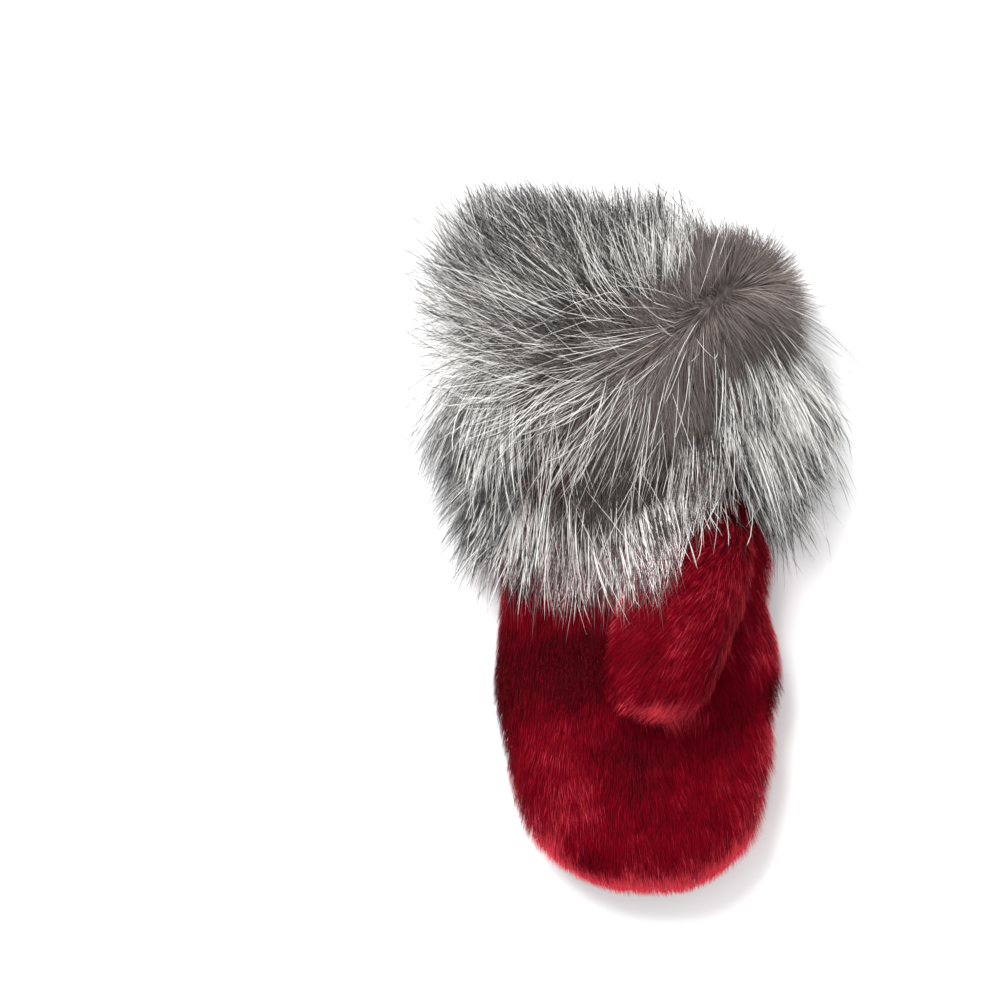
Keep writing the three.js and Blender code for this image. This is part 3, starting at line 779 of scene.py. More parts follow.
# %% [markdown]
# ## The cuff's underfur as one form
# Fox underfur is so dense that it felts into a soft body some two centimetres thick. A profile gives how
# far it stands out at each place along the band, and is swept round the band's section. It is fullest on
# top, thinner at the sides, and turns in over the mouth. At the thumb's side it starts higher up, so that
# the thumb stays free.

# %% Profile of the cuff's underfur
FUR_PROFILE = {
    "share": [0.0, 0.08, 0.2, 0.34, 0.48, 0.6, 0.71, 0.81, 0.88, 0.93, 0.97, 1.0],
    "along": [-16, -8, 6, 22, 40, 56, 70, 82, 88, 86, 80, 74],
    "out": [1.2, 6, 11.5, 16, 18.5, 19, 17.5, 13, 8, 4, 2.6, 3.3],
}
PROFILE_LENGTH = 138 * MM
FUR_FULLNESS = {
    "turn": [0.0, 0.08, 0.17, 0.25, 0.38, 0.5, 0.75, 1.0],
    "full": [0.5, 0.55, 0.85, 1.0, 0.9, 0.62, 0.7, 0.5],
}
FUR_START = {
    "turn": [0.0, 0.02, 0.05, 0.1, 0.14, 0.2, 0.6, 1.0],
    "reach": [1.0, 0.6, 0.05, 0.05, 0.5, 1.0, 1.0, 1.0],
}
THINNEST = 1.2 * MM
SWELL, SWELL_SIZE = 1.6 * MM, 45 * MM  # height and width of the felt's uneven swellings
FULL_SWELL_AT = 12 * MM  # they are lower where the felt is thinner than this
FELT_REST = 0.5 * MM


def fox_surface(share, turn):
    """The underfur's outer surface: the profile swept round the band, swollen by noise, flat below."""
    share, turn = np.broadcast_arrays(np.asarray(share, float), np.asarray(turn, float))
    along = column(FUR_PROFILE, "share", share, "along") * MM
    along = np.where(along < 0, along * column(FUR_START, "turn", turn % 1, "reach"), along)
    out = column(FUR_PROFILE, "share", share, "out") * column(FUR_FULLNESS, "turn", turn % 1, "full") * MM
    out = np.maximum(out, THINNEST)
    point = body_point(BAND_START + along, turn % 1, -out)
    swell = SWELL * smooth_noise(point, SWELL_SIZE, 5) * np.clip(out / FULL_SWELL_AT, 0, 1)
    point = body_point(BAND_START + along, turn % 1, -out - swell)
    point[..., 2] = np.maximum(point[..., 2], FELT_REST)
    return point


FELT_ROWS, FELT_COLUMNS = 60, 112
PELT_OUTSET = 0.3 * MM
fur_shares = np.linspace(0, 1, FELT_ROWS)
fur_turns = np.arange(FELT_COLUMNS) / FELT_COLUMNS
felt = fox_surface(fur_shares[:, None], fur_turns[None, :])
pelt_y = BAND_START + fur_shares * BAND_LENGTH
pelt_inside = body_point(pelt_y[:, None], fur_turns[None, :], -PELT_OUTSET)
wall("cuff_felt", felt, pelt_inside, True, ["fur_cuff"], fox_bed, "silver_fur")


# %% [markdown]
# ## Keeping hairs out of the hand
# The cuff's fringe lies on the palm and the thumb. A hair that would pass through them is lifted onto them,
# or pushed out at the sides. Where a push would bend the hair too much, the hair is cut off before that
# place instead.


# %% Cutting hairs
SHORTEST_SHARE = 0.04  # a cut hair keeps at least this share of its length


def cut_off(paths, room):
    """Hairs cut where their room, (hairs, points), first turns negative.

    The place of the cut is where a straight line between the two rooms crosses 0. The points are spread
    again over what is left, so a hair keeps their number.
    """
    points = paths.shape[1]
    hair = np.arange(len(paths))
    first = np.argmax(room < 0, axis=1)
    before = np.maximum(first - 1, 0)
    start, end = room[hair, before], room[hair, first]
    share = (before + np.clip(start / np.maximum(start - end, 1e-9), 0, 1)) / (points - 1)
    share = np.where((room < 0).any(axis=1), np.maximum(share, SHORTEST_SHARE), 1)
    place = share[:, None] * np.arange(points)[None, :]
    low = np.minimum(place.astype(int), points - 2)
    t = (place - low)[..., None]
    return paths[hair[:, None], low] * (1 - t) + paths[hair[:, None], low + 1] * t


# %% Keeping clear
TOP_SHARE = 0.95  # within this share of the half-width a hair is lifted, past it pushed sideways
THUMB_SECTIONS = np.linspace(0.05, 0.97, 20)
LIFTED = 0.1 * MM  # a point counts as lifted when it rises by more than this
RAMP = 0.6  # how steeply a hair comes down again beside a lifted point
HAIR_REST = 0.4 * MM  # height of the lowest hairs above the floor
MOST_SIDEWAYS = 3 * MM  # a hair that would be pushed further is cut


def keep_clear(paths, margin):
    """Points moved out of the hand, the thumb and the floor, by the margin.

    A point on top rises to the palm, and one at a side moves out from the section's middle until its
    superellipse sum is 1. Over the thumb, points rise to a round arch at each of its sections. The
    hair's other points rise to a ramp beside the lifted ones.
    """
    x, y, z = (paths[..., i].copy() for i in range(3))
    middle, seam, half_width, rise, fall, _ = section(np.clip(y, TIP_Y, WRIST_Y), -margin)
    across, in_height = x - middle, z - seam
    share = np.abs(across) / np.maximum(half_width, MM)
    half = np.maximum(np.where(in_height > 0, rise, fall), MM)
    reach = share**OUTLINE_POWER + (np.abs(in_height) / half) ** CROWN_POWER
    inside = (reach < 1) & (y < WRIST_Y) & (y > TIP_Y)
    grow = np.where(inside, 1 / np.maximum(reach, 1e-3) ** (1 / OUTLINE_POWER), 1)
    upwards = inside & (in_height > 0) & (share < TOP_SHARE)
    x = np.where(upwards, x, middle + across * grow)
    z = np.where(upwards, palm_top(x, y, -margin), seam + in_height * grow)
    for share in THUMB_SECTIONS:
        centre, _, _, half_width, half_depth = thumb_frame(share, 0)
        reach = np.hypot(x - centre[0], y - centre[1]) / (half_width + margin)
        top = centre[2] + (half_depth + margin) * np.sqrt(np.maximum(1 - reach**2, 0))
        z = np.where((reach < 1) & (z < top) & (z > centre[2] - half_depth), top, z)
    run = np.cumsum(np.linalg.norm(np.diff(paths, axis=1, prepend=paths[:, :1]), axis=-1), axis=1)
    apart = np.abs(run[:, :, None] - run[:, None, :])
    ramp = np.where(z > paths[..., 2] + LIFTED, z, 0)[:, None, :] - RAMP * apart
    z[:, 1:] = np.maximum(z, ramp.max(axis=2))[:, 1:]
    moved = np.stack([x, y, np.maximum(z, HAIR_REST)], axis=-1)
    return cut_off(moved, MOST_SIDEWAYS - np.hypot(x - paths[..., 0], y - paths[..., 1]))


# %% [markdown]
# ## Short red fur
# The short coat lies towards the fingertips and a little to the right, on the thumb to the left. Each hair
# is almost straight and stands up from the skin by some fifteen degrees, so past the rounded edge the tips
# stick out as a fringe. Two points and a tip are enough for it. Its tone changes slowly over the pelt, and a
# few dark flecks mark it. Painted shade darkens it in the creases beside and below the thumb, under the
# cuff's fringe and along the left side. Painted sheen lightens its ridges, the thumb and the fingertips'
# rim.

# %% Painted shade, painted sheen and dark flecks on the red coat
# Darkening entries are painted shade: the palm's middle, the creases beside and below the thumb, under the
# cuff's fringe and along the left side. Those at (56, -4) and (-20.6, -67.5) are two dark flecks of the pelt
# itself. Lightening entries are painted sheen and highlights on the ridges, the thumb, the right edge and the
# fingertips.
RED_SHADE_SHEEN_AND_FLECKS = {
    "x": [-34, -27, 14, -5, 40, 51, -4, 12, -26, -59, 56, -20.6, 52, 44],
    "y": [-26, -54, -43, -22, -8, -30, 10, -7, 14, -14, 4, -67.5, 22, -62],
    "wide": [12, 13, 26, 16, 9, 8, 9, 14, 30, 7, 7, 10, 8, 10],
    "long": [22, 20, 24, 12, 16, 26, 16, 7, 17, 40, 7, 10, 16, 14],
    "tone": [0.08, 0.22, -0.1, -0.28, -0.27, 0.22, 0.17, 0.38, -0.55, -0.7, -0.36, -0.45, 0.14, 0.28],
}


def red_shade_sheen_and_flecks(point):
    """How much painted sheen lightens and painted shade darkens the coat at a point, with two dark flecks
    of the pelt's own: a sum of bell-shaped fields.
    """
    total = np.zeros(len(point))
    for x, y, wide, long, tone in zip(*RED_SHADE_SHEEN_AND_FLECKS.values()):
        total += tone * np.exp(-(((point[:, 0] / MM - x) / wide) ** 2) - ((point[:, 1] / MM - y) / long) ** 2)
    return total


# %% Red coat
RED_LENGTH = 9.0 * MM
RED_HALF_WIDTH = 0.12 * MM
RED_LIFT = 15  # degrees from the skin
RED_REST = 0.3 * MM  # height of the lowest red hairs above the floor
TIP_ZONE = (50 * MM, 78 * MM)  # the fingertips' fur starts and is fully short this far along -Y
DRIFT_SIZE, DRIFT = 30 * MM, 0.14  # how the lie wanders over the pelt
RIM_FOLLOWS = 0.85  # how far the hairs of the rim give up their lie for the level one


def lay_on(normal, flow):
    """Flow turned into the surface: what is left of it without its part along the normal."""
    along = np.sum(normal * flow, axis=-1, keepdims=True)
    return unit(flow - normal * along + 1e-6)


def red_coat(name, node, surface, low, high, flow_of, hairs, seed, steps, brightness, painted_rim_light):
    """Short hairs over a surface between two pairs of parameters.

    A hair's direction is the lie times the cosine of its lift plus the normal times its sine. On the
    rim, where the normal is level, hairs lie level too and point outwards, so that seen from above they
    make a soft edge.
    """
    rng = np.random.default_rng(seed)
    a, b = spread(surface, low, high, hairs, rng)
    point, normal, _, _ = surface_frame(surface, a, b, *steps)
    drift = smooth_noise(point, DRIFT_SIZE, seed + 1)[:, None] * DRIFT + rng.normal(0, 0.09, (hairs, 1))
    lay = lay_on(normal, flow_of(point))
    lay = unit(lay + np.cross(normal, lay) * drift)
    rim = np.exp(-((normal[:, 2] / 0.45) ** 2)) * smoothstep(point[:, 2], 4 * MM, 10 * MM)
    level = unit(flow_of(point) * [1, 1, 0])
    inward = np.minimum(np.sum(level * normal, axis=-1, keepdims=True), 0)
    level = unit(level + normal * (0.25 - inward) * [1, 1, 0])
    uneven = 3 * smooth_noise(point, 9 * MM, seed + 4)
    lift = np.radians(RED_LIFT + uneven + (3 + 6 * rim) * rng.normal(size=hairs))
    at_tip = smoothstep(-point[:, 1], *TIP_ZONE)
    length = RED_LENGTH * (0.8 + 0.35 * rng.random(hairs) + (0.15 - 0.6 * at_tip) * rim)
    directions = []
    for bend in (0.15, -0.15):
        along = lay * np.cos(lift + bend)[:, None] + normal * np.sin(lift + bend)[:, None]
        directions.append(along + (level - along) * RIM_FOLLOWS * rim[:, None])
    paths = walk(point, np.stack(directions, axis=1), length)
    paths[..., 2] = np.maximum(paths[..., 2], RED_REST)
    across = unit(np.cross(lay, normal) + normal * rng.normal(0, 0.3, (hairs, 1)))
    widths = RED_HALF_WIDTH * np.array([0.8, 1.0])[None, :] * (0.8 + 0.4 * rng.random((hairs, 1)))
    broad, fine = smooth_noise(point, 32 * MM, seed + 2), smooth_noise(point, 9 * MM, seed + 3)
    tones = brightness + 0.05 * broad + 0.05 * fine
    # Painted highlights: the tone rises on the rim all round, and much more on the fingertips' rim.
    edge = at_tip * np.exp(-((normal[:, 2] / 0.84) ** 4)) * smoothstep(point[:, 2], 3 * MM, 24 * MM)
    spread_of_tone = 0.1 + 0.1 * np.maximum(rim, edge)
    tones += red_shade_sheen_and_flecks(point) + painted_rim_light * rim + 0.75 * edge + spread_of_tone * rng.normal(size=hairs)
    ribbons(name, paths, widths, across, np.clip(tones, 0, 1), [node], red_hair)


# %% Where the red hairs lie
def hand_surface(y, turn):
    """The hand's pelt, where the hairs have their roots."""
    return body_point(y, turn, SKIN_DEPTH)


def thumb_surface(share, turn):
    """The thumb's pelt."""
    return thumb_point(share, turn, SKIN_DEPTH)


def hand_flow(point):
    """Towards the fingertips, leaning out to both sides a little and to the right."""
    flow = np.zeros_like(point)
    flow[:, 0] = 0.1 + 0.25 * point[:, 0] / HALF_PALM
    flow[:, 1] = -1
    return flow


def thumb_flow(point):
    """Towards the thumb's end and to the left."""
    return np.broadcast_to([-0.62, -0.8, -0.05], point.shape).copy()


lowest = TIP_Y + SKIN_DEPTH + 0.02 * MM
hand_steps = (0.2 * MM, 0.0005)  # small steps of both parameters, from which the normal is found
for name, node, turns, hairs, seed in (
    ("palm_fur", "palm_panel", (0.0, 0.5), 62000, 11),
    ("back_fur", "back_panel", (0.5, 1.0), 28000, 12),
):
    red_coat(
        name,
        node,
        surface=hand_surface,
        low=(lowest, turns[0]),
        high=(WRIST_Y, turns[1]),
        flow_of=hand_flow,
        hairs=hairs,
        seed=seed,
        steps=hand_steps,
        brightness=0.42,
        painted_rim_light=0.36,
    )
red_coat(
    "thumb_fur",
    "thumb",
    surface=thumb_surface,
    low=(0.03, 0.0),
    high=(1 - 1.02 * SKIN_DEPTH / THUMB_LENGTH, 1.0),
    flow_of=thumb_flow,
    hairs=24000,
    seed=13,
    steps=(0.001, 0.0005),
    # Lighter than the hand's coat: painted light on the raised thumb.
    brightness=0.52,
    painted_rim_light=0.12,
)

# %% [markdown]
# ## Fox cuff
# Fox hair parts in a whorl near the thumb's side of the cuff. From there it flows away to all sides: over
# the hand, to both sides, and out past the mouth. The dense underfur is felted near its roots, so the roots
# are one soft surface, and its outer part is short hairs. The guard hairs are two to four times as long. Each
# is dark at its root, has a white band, and often ends in a dark tip.

# %% Lie of the fox hair
PARTING = {
    "turn": [0.0, 0.06, 0.12, 0.17, 0.215, 0.242, 0.3, 0.38, 0.5, 0.75, 1.0],
    "along": [79, 78, 75, 72.5, 61, 54, 54, 62, 75, 72, 79],
}
WHORL_TURN = 0.17
ROUND = 300 * MM  # about the cuff's girth over the felt
PARTING_SOFTNESS = 5 * MM
FAN_NEAR, FAN_FAR = 32 * MM, 110 * MM  # hairs turn sideways from the first distance, and less by the second
FAN_ENDS = 34 * MM  # so far below the parting the hairs point to the hand again
LIE_STEPS = (0.004, 0.002)
profile_share = np.linspace(0, 0.85, 200)
profile_along = column(FUR_PROFILE, "share", profile_share, "along")


def from_parting(share, turn):
    """Distance from the parting at a place of the felt, plus towards the mouth."""
    parting = np.interp(column(PARTING, "turn", turn % 1, "along"), profile_along, profile_share)
    return (share - parting) * PROFILE_LENGTH


def fox_lie(share, turn):
    """Point of the felt, unit flow, outward normal and distance from the parting.

    The flow goes along the profile, away from the parting on both sides, plus a sideways part that fans
    out from the whorl. That part grows with the distance from the whorl, fades far from it, and is
    weaker over the hand.
    """
    point, normal, _, _ = surface_frame(fox_surface, share, turn, *LIE_STEPS)
    ahead = unit(fox_surface(share + LIE_STEPS[0], turn) - fox_surface(share - LIE_STEPS[0], turn))
    aside = unit(np.cross(ahead, normal))
    distance = from_parting(share, turn)
    to_right = ((WHORL_TURN - turn + 0.5) % 1 - 0.5) * ROUND
    fan = np.where(to_right > 0, 0.6, 0.8) * np.tanh(to_right / FAN_NEAR)
    fan = fan * np.exp(-((to_right / FAN_FAR) ** 2))
    below = np.clip(-distance / FAN_ENDS, 0, 1)
    fan = fan * (1 - np.where(to_right > 0, 0.35, 0.85) * below)
    flow = ahead * (distance / np.hypot(distance, PARTING_SOFTNESS))[:, None] + aside * fan[:, None]
    return point, unit(flow), normal, distance


# %% [markdown]
# ## Where the cuff ends
# A loose hair ends where it likes, but the coat as a whole keeps an outline. Seen from above, the cuff's
# outline and the fringe's end over the hand are two lines, and each hair is cut at a random distance before
# or past them.

# %% Outline of the cuff
CUFF_MIDDLE = (0.0, 115 * MM)
CUFF_EDGE = {
    "x": [
        86, 96, 102, 97, 85, 68, 52, 40, 20, -15, -45, -60, -78,
        -96, -103, -98, -86, -62, -41, -20, -7, 8, 16, 57, 63, 74,
    ],
    "y": [
        88, 105, 122, 142, 158, 175, 190, 198, 202, 203, 207, 207, 190,
        162, 128, 98, 75, 42, 27, 23, 25, 31, 38, 52, 58, 71,
    ],
}
FRINGE_EDGE = {
    "x": [-120, -62, -61, -41, -20, -7, 8, 16, 18, 20, 29, 38, 42, 48, 54, 57, 58, 120],
    "y": [-200, -200, 37, 24, 20, 22, 28, 36, 49, 62, 76, 84, 86, 78, 66, 54, -200, -200],
}


def polar(x, y):
    """Turn, 0 to 1 from the +X direction, and distance of plan points seen from the cuff's middle."""
    x, y = x - CUFF_MIDDLE[0], y - CUFF_MIDDLE[1]
    return np.arctan2(y, x) / (2 * np.pi) % 1, np.hypot(x, y)


REACH = (116 * MM, 216 * MM, 112 * MM)  # no hair reaches further to the right, out of the mouth or up
REACH_LEFT = 117 * MM
edge_turn, edge_far = polar(np.array(CUFF_EDGE["x"]) * MM, np.array(CUFF_EDGE["y"]) * MM)
edge_order = np.argsort(edge_turn)


def end_at_edge(paths, rng, ragged):
    """Hairs cut near the cuff's outline and near the fringe's end, and never past the furthest reach.

    The distance before or past a line is an exponential random number times ragged, so most hairs end
    close to it.
    """
    count = (len(paths), 1)
    turn, far = polar(paths[..., 0], paths[..., 1])
    loose = ragged * rng.standard_exponential(count) * rng.choice([-2.4, 1.7], count, p=[0.65, 0.35])
    limit = np.interp(turn, edge_turn[edge_order], edge_far[edge_order], period=1) + loose
    fringe = np.interp(paths[..., 0], np.array(FRINGE_EDGE["x"]) * MM, np.array(FRINGE_EDGE["y"]) * MM)
    low = ragged * rng.standard_exponential(count) * rng.choice([-1.5, 3.4], count, p=[0.22, 0.78])
    room = np.minimum(limit - far, paths[..., 1] - fringe - low)
    left_over = np.minimum((REACH - paths).min(axis=2), paths[..., 0] + REACH_LEFT)
    return cut_off(paths, np.minimum(room, left_over - 0.8 * ragged * rng.standard_exponential(count)))


# %% [markdown]
# ## Growing a fox coat
# One function grows each coat of the cuff. It spreads clumps over the felt, gives each hair its lie and its
# length, walks it outwards in a curve that first rises and then falls, draws it to its clump's guide, cuts
# it at the outline, keeps it off the hand and picks its tone. Locks come from tones and bends that whole
# clumps share.

# %% Fox coat
LAST_ROOT, LAST_IN_CLUMP = 0.92, 0.94  # shares of the profile past which no clump and no hair has its root
RIDGE = 22  # degrees by which hairs on the parting stand up
RIDGE_WIDTH = 9 * MM
SIDE_STAND, SIDE_STAND_BELOW = 40, 16  # degrees by which hairs stand off at the cuff's two sides
TO_HAND = 0.5  # how much the hairs over the hand turn towards the fingertips
DROOP = 0.3  # how much the ends sink under their own weight
LOOSE_SHARE = 0.1  # share of hairs that don't follow their clump
RAGGED = 5 * MM  # how unevenly the coat ends
CLEARANCE = 2.5 * MM  # room that the short red fur needs under the fox hair


def fox_coat(
    name,
    counts,
    radius,
    steps,
    half_width,
    material,
    seed,
    pull,
    wander,
    weight,
    length_of,
    lifts,
    sunk,
    tone_of,
):
    """Long hairs over the felt.

    counts are the clumps and the hairs in each, radius is a clump's size, and pull is how closely its
    tips meet. lifts are the angles from the felt in which a hair leaves it and ends, and sunk is how
    deep its root lies. wander is how far clumps and hairs stray from the lie. weight, length_of and
    tone_of are functions of the place.
    """
    rng = np.random.default_rng(seed)
    clumps, hairs = counts
    share, turn = spread(fox_surface, (0.0, 0.0), (LAST_ROOT, 1.0), clumps, rng, weight)
    _, _, size_a, size_b = surface_frame(fox_surface, share, turn, *LIE_STEPS)
    ja, jb = jitter(share, turn, size_a, size_b, hairs - 1, radius, rng)
    share = np.clip(np.concatenate([share[:, None], ja], axis=1).ravel(), 0.0, LAST_IN_CLUMP)
    turn = np.concatenate([turn[:, None], jb], axis=1).ravel() % 1
    clump = np.repeat(np.arange(clumps), hairs)
    root, flow, normal, distance = fox_lie(share, turn)
    count = len(root)
    own = 1 + 0.1 * rng.normal(size=clumps)[clump] + 0.12 * rng.normal(size=count)
    length = length_of(distance, turn, rng) * np.clip(own, 0.6, 1.35)
    sideways = 0.8 * wander * rng.normal(size=count) + wander * rng.normal(size=clumps)[clump]
    sideways += 0.28 * smooth_noise(root, 55 * MM, 31)
    flow = unit(flow + np.cross(normal, flow) * sideways[:, None])
    t = (np.arange(steps) + 0.5) / steps
    stand = RIDGE * np.exp(-((distance / RIDGE_WIDTH) ** 2)) + 6 * rng.normal(size=count)
    stand += 5 * rng.normal(size=clumps)[clump]
    at_side = np.abs(np.cos(2 * np.pi * turn)) ** 3
    stand += (SIDE_STAND - SIDE_STAND_BELOW * np.clip(-distance / (60 * MM), 0, 1)) * at_side
    lift = np.radians(lifts[0] + stand[:, None] + (lifts[1] - lifts[0]) * t[None, :] ** 0.9)
    direction = flow[:, None] * np.cos(lift)[..., None] + normal[:, None] * np.sin(lift)[..., None]
    bend = 0.2 * rng.normal(size=clumps)[clump] + 0.3 * smooth_noise(root, 34 * MM, 36)
    direction += np.cross(normal, flow)[:, None] * (bend[:, None] * t[None, :] ** 1.5)[..., None]
    to_hand = np.clip(-distance / (20 * MM), 0, 1) * (1 - 0.55 * at_side)
    direction[..., 1] -= TO_HAND * to_hand[:, None] * t[None, :]
    direction[..., 2] -= DROOP * t[None, :] ** 2
    paths = walk(root - normal * sunk, direction, length)
    points = steps + 1
    guides = paths.reshape(clumps, hairs, points, 3)[:, :1].repeat(hairs, axis=1).reshape(-1, points, 3)
    pulls = np.where(rng.random(count) < LOOSE_SHARE, 0.05, pull * (0.75 + 0.25 * rng.random(count)))
    paths = gather(paths, guides, pulls)
    astray = rng.normal(0, 0.012, (count, 1, 3))
    paths = paths + np.linspace(0, 1, points)[None, :, None] ** 2 * astray * length[:, None, None]
    paths = keep_clear(end_at_edge(paths, rng, RAGGED), CLEARANCE)
    ahead = unit(paths[:, points // 2] - paths[:, 0])
    across = unit(np.cross(ahead, normal) + normal * rng.normal(0, 0.4, (count, 1)))
    taper = np.linspace(0, 1, points)[:-1]
    belly = (0.75 + 0.6 * taper - 0.8 * taper**2)[None, :]
    widths = half_width * belly * (0.75 + 0.5 * rng.random((count, 1)))
    light_share, dark, light, own_tone = tone_of(distance, turn)
    lock = 0.36 * smooth_noise(root, 26 * MM, 35) + 0.28 * rng.normal(size=clumps)[clump]
    is_light = rng.random(count) < np.clip(light_share + lock, 0.08, 0.95)
    tones = np.where(is_light, light, dark) + own_tone * rng.normal(size=count)
    ribbons(name, paths, widths, across, np.clip(tones, 0, 1), ["fur_cuff"], material)


# %% [markdown]
# ## Where each coat stands
# Fox fur isn't one coat. Underfur grows everywhere. White-banded guard hairs cover the crest from the
# parting to the mouth, the fringe over the hand and the two sides, and a smooth field of underfur stays
# free round the whorl. Each coat has a weight over the felt, 0 where it doesn't grow. Single stray hairs
# cross the borders between the coats.

# %% Places of the fox hairs
def near_turn(turn, middle, low, high):
    """1 round one turn of the section, 0 away from it, by the cosine of the angle between them."""
    return smoothstep(np.cos(2 * np.pi * (turn - middle)), low, high)


def fewer_below(turn):
    """Fewer hairs underneath, where the cuff lies on the surface."""
    return np.where(np.sin(2 * np.pi * turn) < -0.5, 0.4, 1.0)


def side(turn):
    """1 at the cuff's two sides, 0 on top and underneath. The thumb's side reaches further up."""
    return near_turn(turn, 0.03, 0.5, 0.8) + smoothstep(-np.cos(2 * np.pi * turn), 0.65, 0.85)


def on_all(share, turn):
    """Everywhere, thinner underneath."""
    return fewer_below(turn) + 0 * share


def on_crest(share, turn):
    """From the parting to the mouth, thin over the thumb, where the underfur shows."""
    right = near_turn(turn, 0.08, 0.3, 0.7)
    hangs_in = smoothstep(share, 0.7, 0.78)
    outside = smoothstep(from_parting(share, turn), -4 * MM, 8 * MM) * (1 - 0.97 * hangs_in)
    return fewer_below(turn) * (1 - 0.88 * right) * outside


def on_fringe(share, turn):
    """Below the smooth field that the underfur makes under the parting."""
    below = smoothstep(-from_parting(share, turn), 16 * MM, 36 * MM)
    return fewer_below(turn) * below * (1 - 0.7 * side(turn))


def on_side(share, turn):
    """At both sides, below the parting."""
    return smoothstep(-from_parting(share, turn), 12 * MM, 34 * MM) * side(turn)


def on_stray(share, turn):
    """Everywhere, most of all over the dome of underfur at the thumb's side."""
    dome = near_turn(turn, 0.1, 0.2, 0.7) * smoothstep(from_parting(share, turn), -16 * MM, 0)
    return fewer_below(turn) * (1 + 4 * dome) * (1 - smoothstep(share, 0.68, 0.76))


# %% Lengths of the fox hairs
def shorter_below(turn):
    """Hairs underneath are shorter, because the cuff lies on them."""
    return 1 - 0.35 * smoothstep(-np.sin(2 * np.pi * turn), 0.3, 0.8)


def crest_lengths(distance, turn, rng):
    """The longest ones, each between two limits."""
    return (54 + 34 * rng.random(len(turn))) * MM * shorter_below(turn)


def fringe_lengths(distance, turn, rng):
    """Short and long ones mixed, so that the fringe over the hand is thick at its end."""
    return (32 + 38 * rng.random(len(turn))) * MM * shorter_below(turn)


def side_lengths(distance, turn, rng):
    """Between the fringe's and the crest's."""
    return (40 + 32 * rng.random(len(turn))) * MM


def stray_lengths(distance, turn, rng):
    """Long ones, because only these show above the coat."""
    return (46 + 34 * rng.random(len(turn))) * MM


def under_lengths(distance, turn, rng):
    """All alike, so that the underfur has a soft even face."""
    return 19 * MM * np.ones(len(turn))


# %% Tones of the fox hairs
def crest_tones(distance, turn):
    """Share of light hairs, tone of the dark and of the light ones, and how far each strays from these."""
    return 0.5, 0.12, 0.92, 0.1


def fringe_tones(distance, turn):
    """Lighter at the thumb's side, under the dome of underfur."""
    return 0.4 + 0.4 * near_turn(turn, 0.1, 0.6, 0.9), 0.08, 0.88, 0.1


def side_tones(distance, turn):
    """Lighter at the thumb's side, as the fringe is."""
    return 0.5 + 0.35 * near_turn(turn, 0.1, 0.6, 0.9), 0.1, 0.88, 0.1


def stray_tones(distance, turn):
    """Light on the left, mostly dark round the dome of underfur."""
    return 0.8 - 0.5 * near_turn(turn, 0.08, 0.3, 0.7), 0.16, 0.9, 0.1


def under_tones(distance, turn):
    """Brown, lighter on the parting and darker to the left.

    Painted shade makes it much darker where the guard hairs cover it and darker below the parting, and
    painted light makes it a little lighter above the parting except on the left.
    """
    left = smoothstep(turn, 0.25, 0.4)
    below, above = smoothstep(-distance, 32 * MM, 48 * MM), smoothstep(distance, 4 * MM, 20 * MM)
    # Painted shade: much darker where the guard hairs cover the underfur.
    guard_shade = np.maximum(below, above * left)
    middle = 0.53 + 0.2 * np.exp(-((distance / (4 * MM)) ** 2)) - 0.2 * left - 0.32 * guard_shade
    # Painted light above the parting except on the left, painted shade below the parting.
    lighter = 0.04 * smoothstep(distance, 4 * MM, 16 * MM) * (1 - left)
    middle += lighter - 0.16 * smoothstep(-distance, 4 * MM, 22 * MM)
    return 0.5, middle - 0.05, middle + 0.05, 0.11


# %% [markdown]
# ## The coats of the cuff
# The underfur is grown in two pieces of the same kind, so that neither gets too heavy. Guard hairs have six
# steps for their curve, the underfur two. The finest ribbons are the strays' and the crest's, because these
# are seen one by one.

# %% Underfur
for half in (1, 2):
    fox_coat(
        f"underfur_{half}",
        counts=(5000, 8),
        radius=2.5 * MM,
        steps=2,
        half_width=0.15 * MM,
        material=under_hair,
        seed=20 + half,
        pull=0.2,
        wander=0.13,
        weight=on_all,
        length_of=under_lengths,
        lifts=(28, 10),
        sunk=1 * MM,
        tone_of=under_tones,
    )

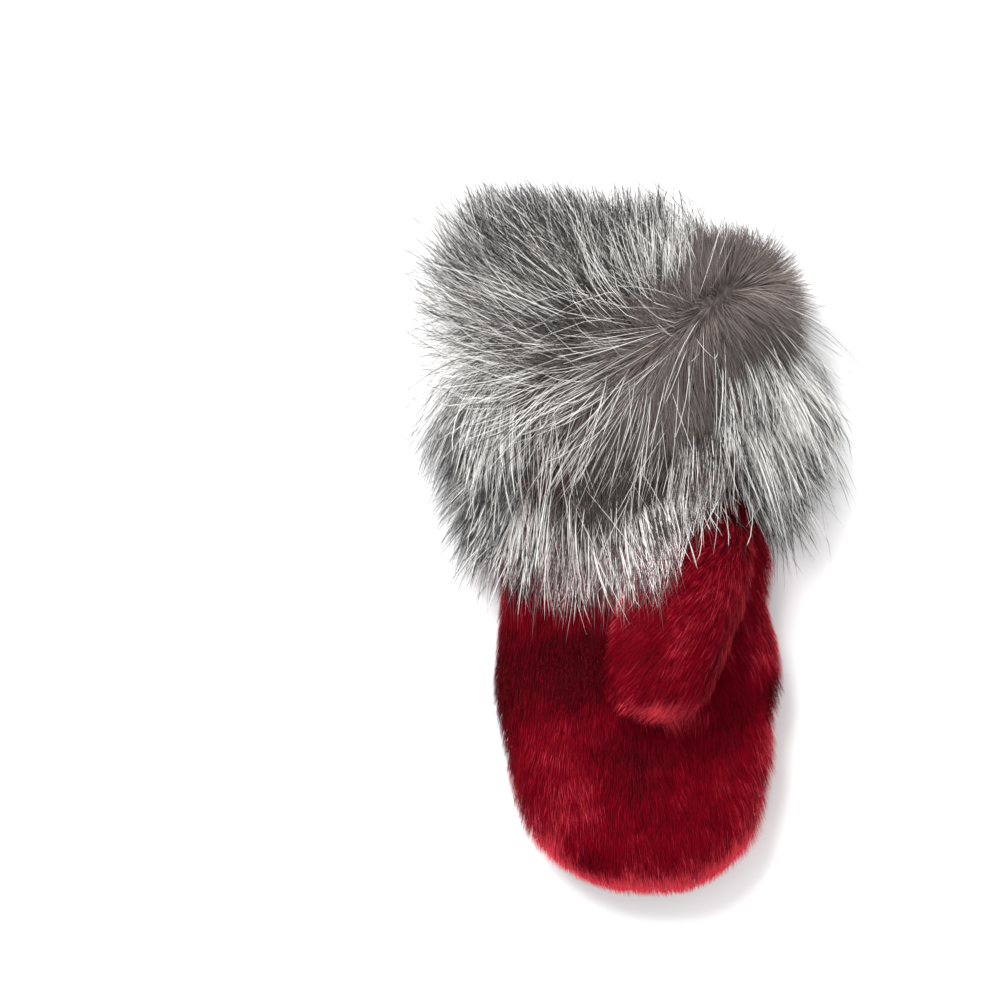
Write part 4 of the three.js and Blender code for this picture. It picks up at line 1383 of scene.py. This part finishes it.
# %% Guard hairs
fox_coat(
    "crest_hairs",
    counts=(340, 27),
    radius=7 * MM,
    steps=6,
    half_width=0.13 * MM,
    material=crest_hair,
    seed=31,
    pull=0.8,
    wander=0.16,
    weight=on_crest,
    length_of=crest_lengths,
    lifts=(16, -18),
    sunk=4 * MM,
    tone_of=crest_tones,
)
fox_coat(
    "fringe_hairs",
    counts=(470, 17),
    radius=4.5 * MM,
    steps=6,
    half_width=0.16 * MM,
    material=fringe_hair,
    seed=32,
    pull=0.72,
    wander=0.08,
    weight=on_fringe,
    length_of=fringe_lengths,
    lifts=(26, -22),
    sunk=5 * MM,
    tone_of=fringe_tones,
)
fox_coat(
    "side_hairs",
    counts=(400, 28),
    radius=6 * MM,
    steps=6,
    half_width=0.19 * MM,
    material=side_hair,
    seed=33,
    pull=0.8,
    wander=0.14,
    weight=on_side,
    length_of=side_lengths,
    lifts=(34, 2),
    sunk=4 * MM,
    tone_of=side_tones,
)
fox_coat(
    "stray_hairs",
    counts=(1000, 2),
    radius=6 * MM,
    steps=6,
    half_width=0.09 * MM,
    material=side_hair,
    seed=34,
    pull=0.2,
    wander=0.4,
    weight=on_stray,
    length_of=stray_lengths,
    lifts=(18, -16),
    sunk=3 * MM,
    tone_of=stray_tones,
)

# %% [markdown]
# ## Floor and light
# The photograph's ground is white and almost without shadow, as on a light table under large soft lamps.

# %% Floor
FLOOR = 6.0
floor_corners = [(-FLOOR, -FLOOR, 0), (FLOOR, -FLOOR, 0), (FLOOR, FLOOR, 0), (-FLOOR, FLOOR, 0)]
floor_mesh = bpy.data.meshes.new("floor")
floor_mesh.from_pydata(floor_corners, [], [(0, 1, 2, 3)])
floor = bpy.data.objects.new("floor", floor_mesh)
bpy.context.collection.objects.link(floor)
floor_material, _, floor_shader = plain_material("pale_floor", 0.9)
floor_shader.inputs["Base Color"].default_value = (0.95, 0.95, 0.96, 1)
floor_mesh.materials.append(floor_material)

# %% Light
SKY_STRENGTH = 1.02
world = bpy.data.worlds.new("studio")
bpy.context.scene.world = world
world.use_nodes = True
background = world.node_tree.nodes["Background"]
background.inputs["Color"].default_value = (1, 1, 1, 1)
background.inputs["Strength"].default_value = SKY_STRENGTH

LAMP_SIZE, LAMP_POWER = 1.4, 78
LAMP_PLACE = (-0.9, 1.45, 1.9)
key_data = bpy.data.lights.new("key", "AREA")
key_data.shape, key_data.size, key_data.energy = "DISK", LAMP_SIZE, LAMP_POWER
key = bpy.data.objects.new("key", key_data)
bpy.context.collection.objects.link(key)
key.location = LAMP_PLACE
key.rotation_mode = "QUATERNION"
key.rotation_quaternion = key.location.to_track_quat("Z", "Y")
bpy.context.scene.view_settings.view_transform = "Standard"
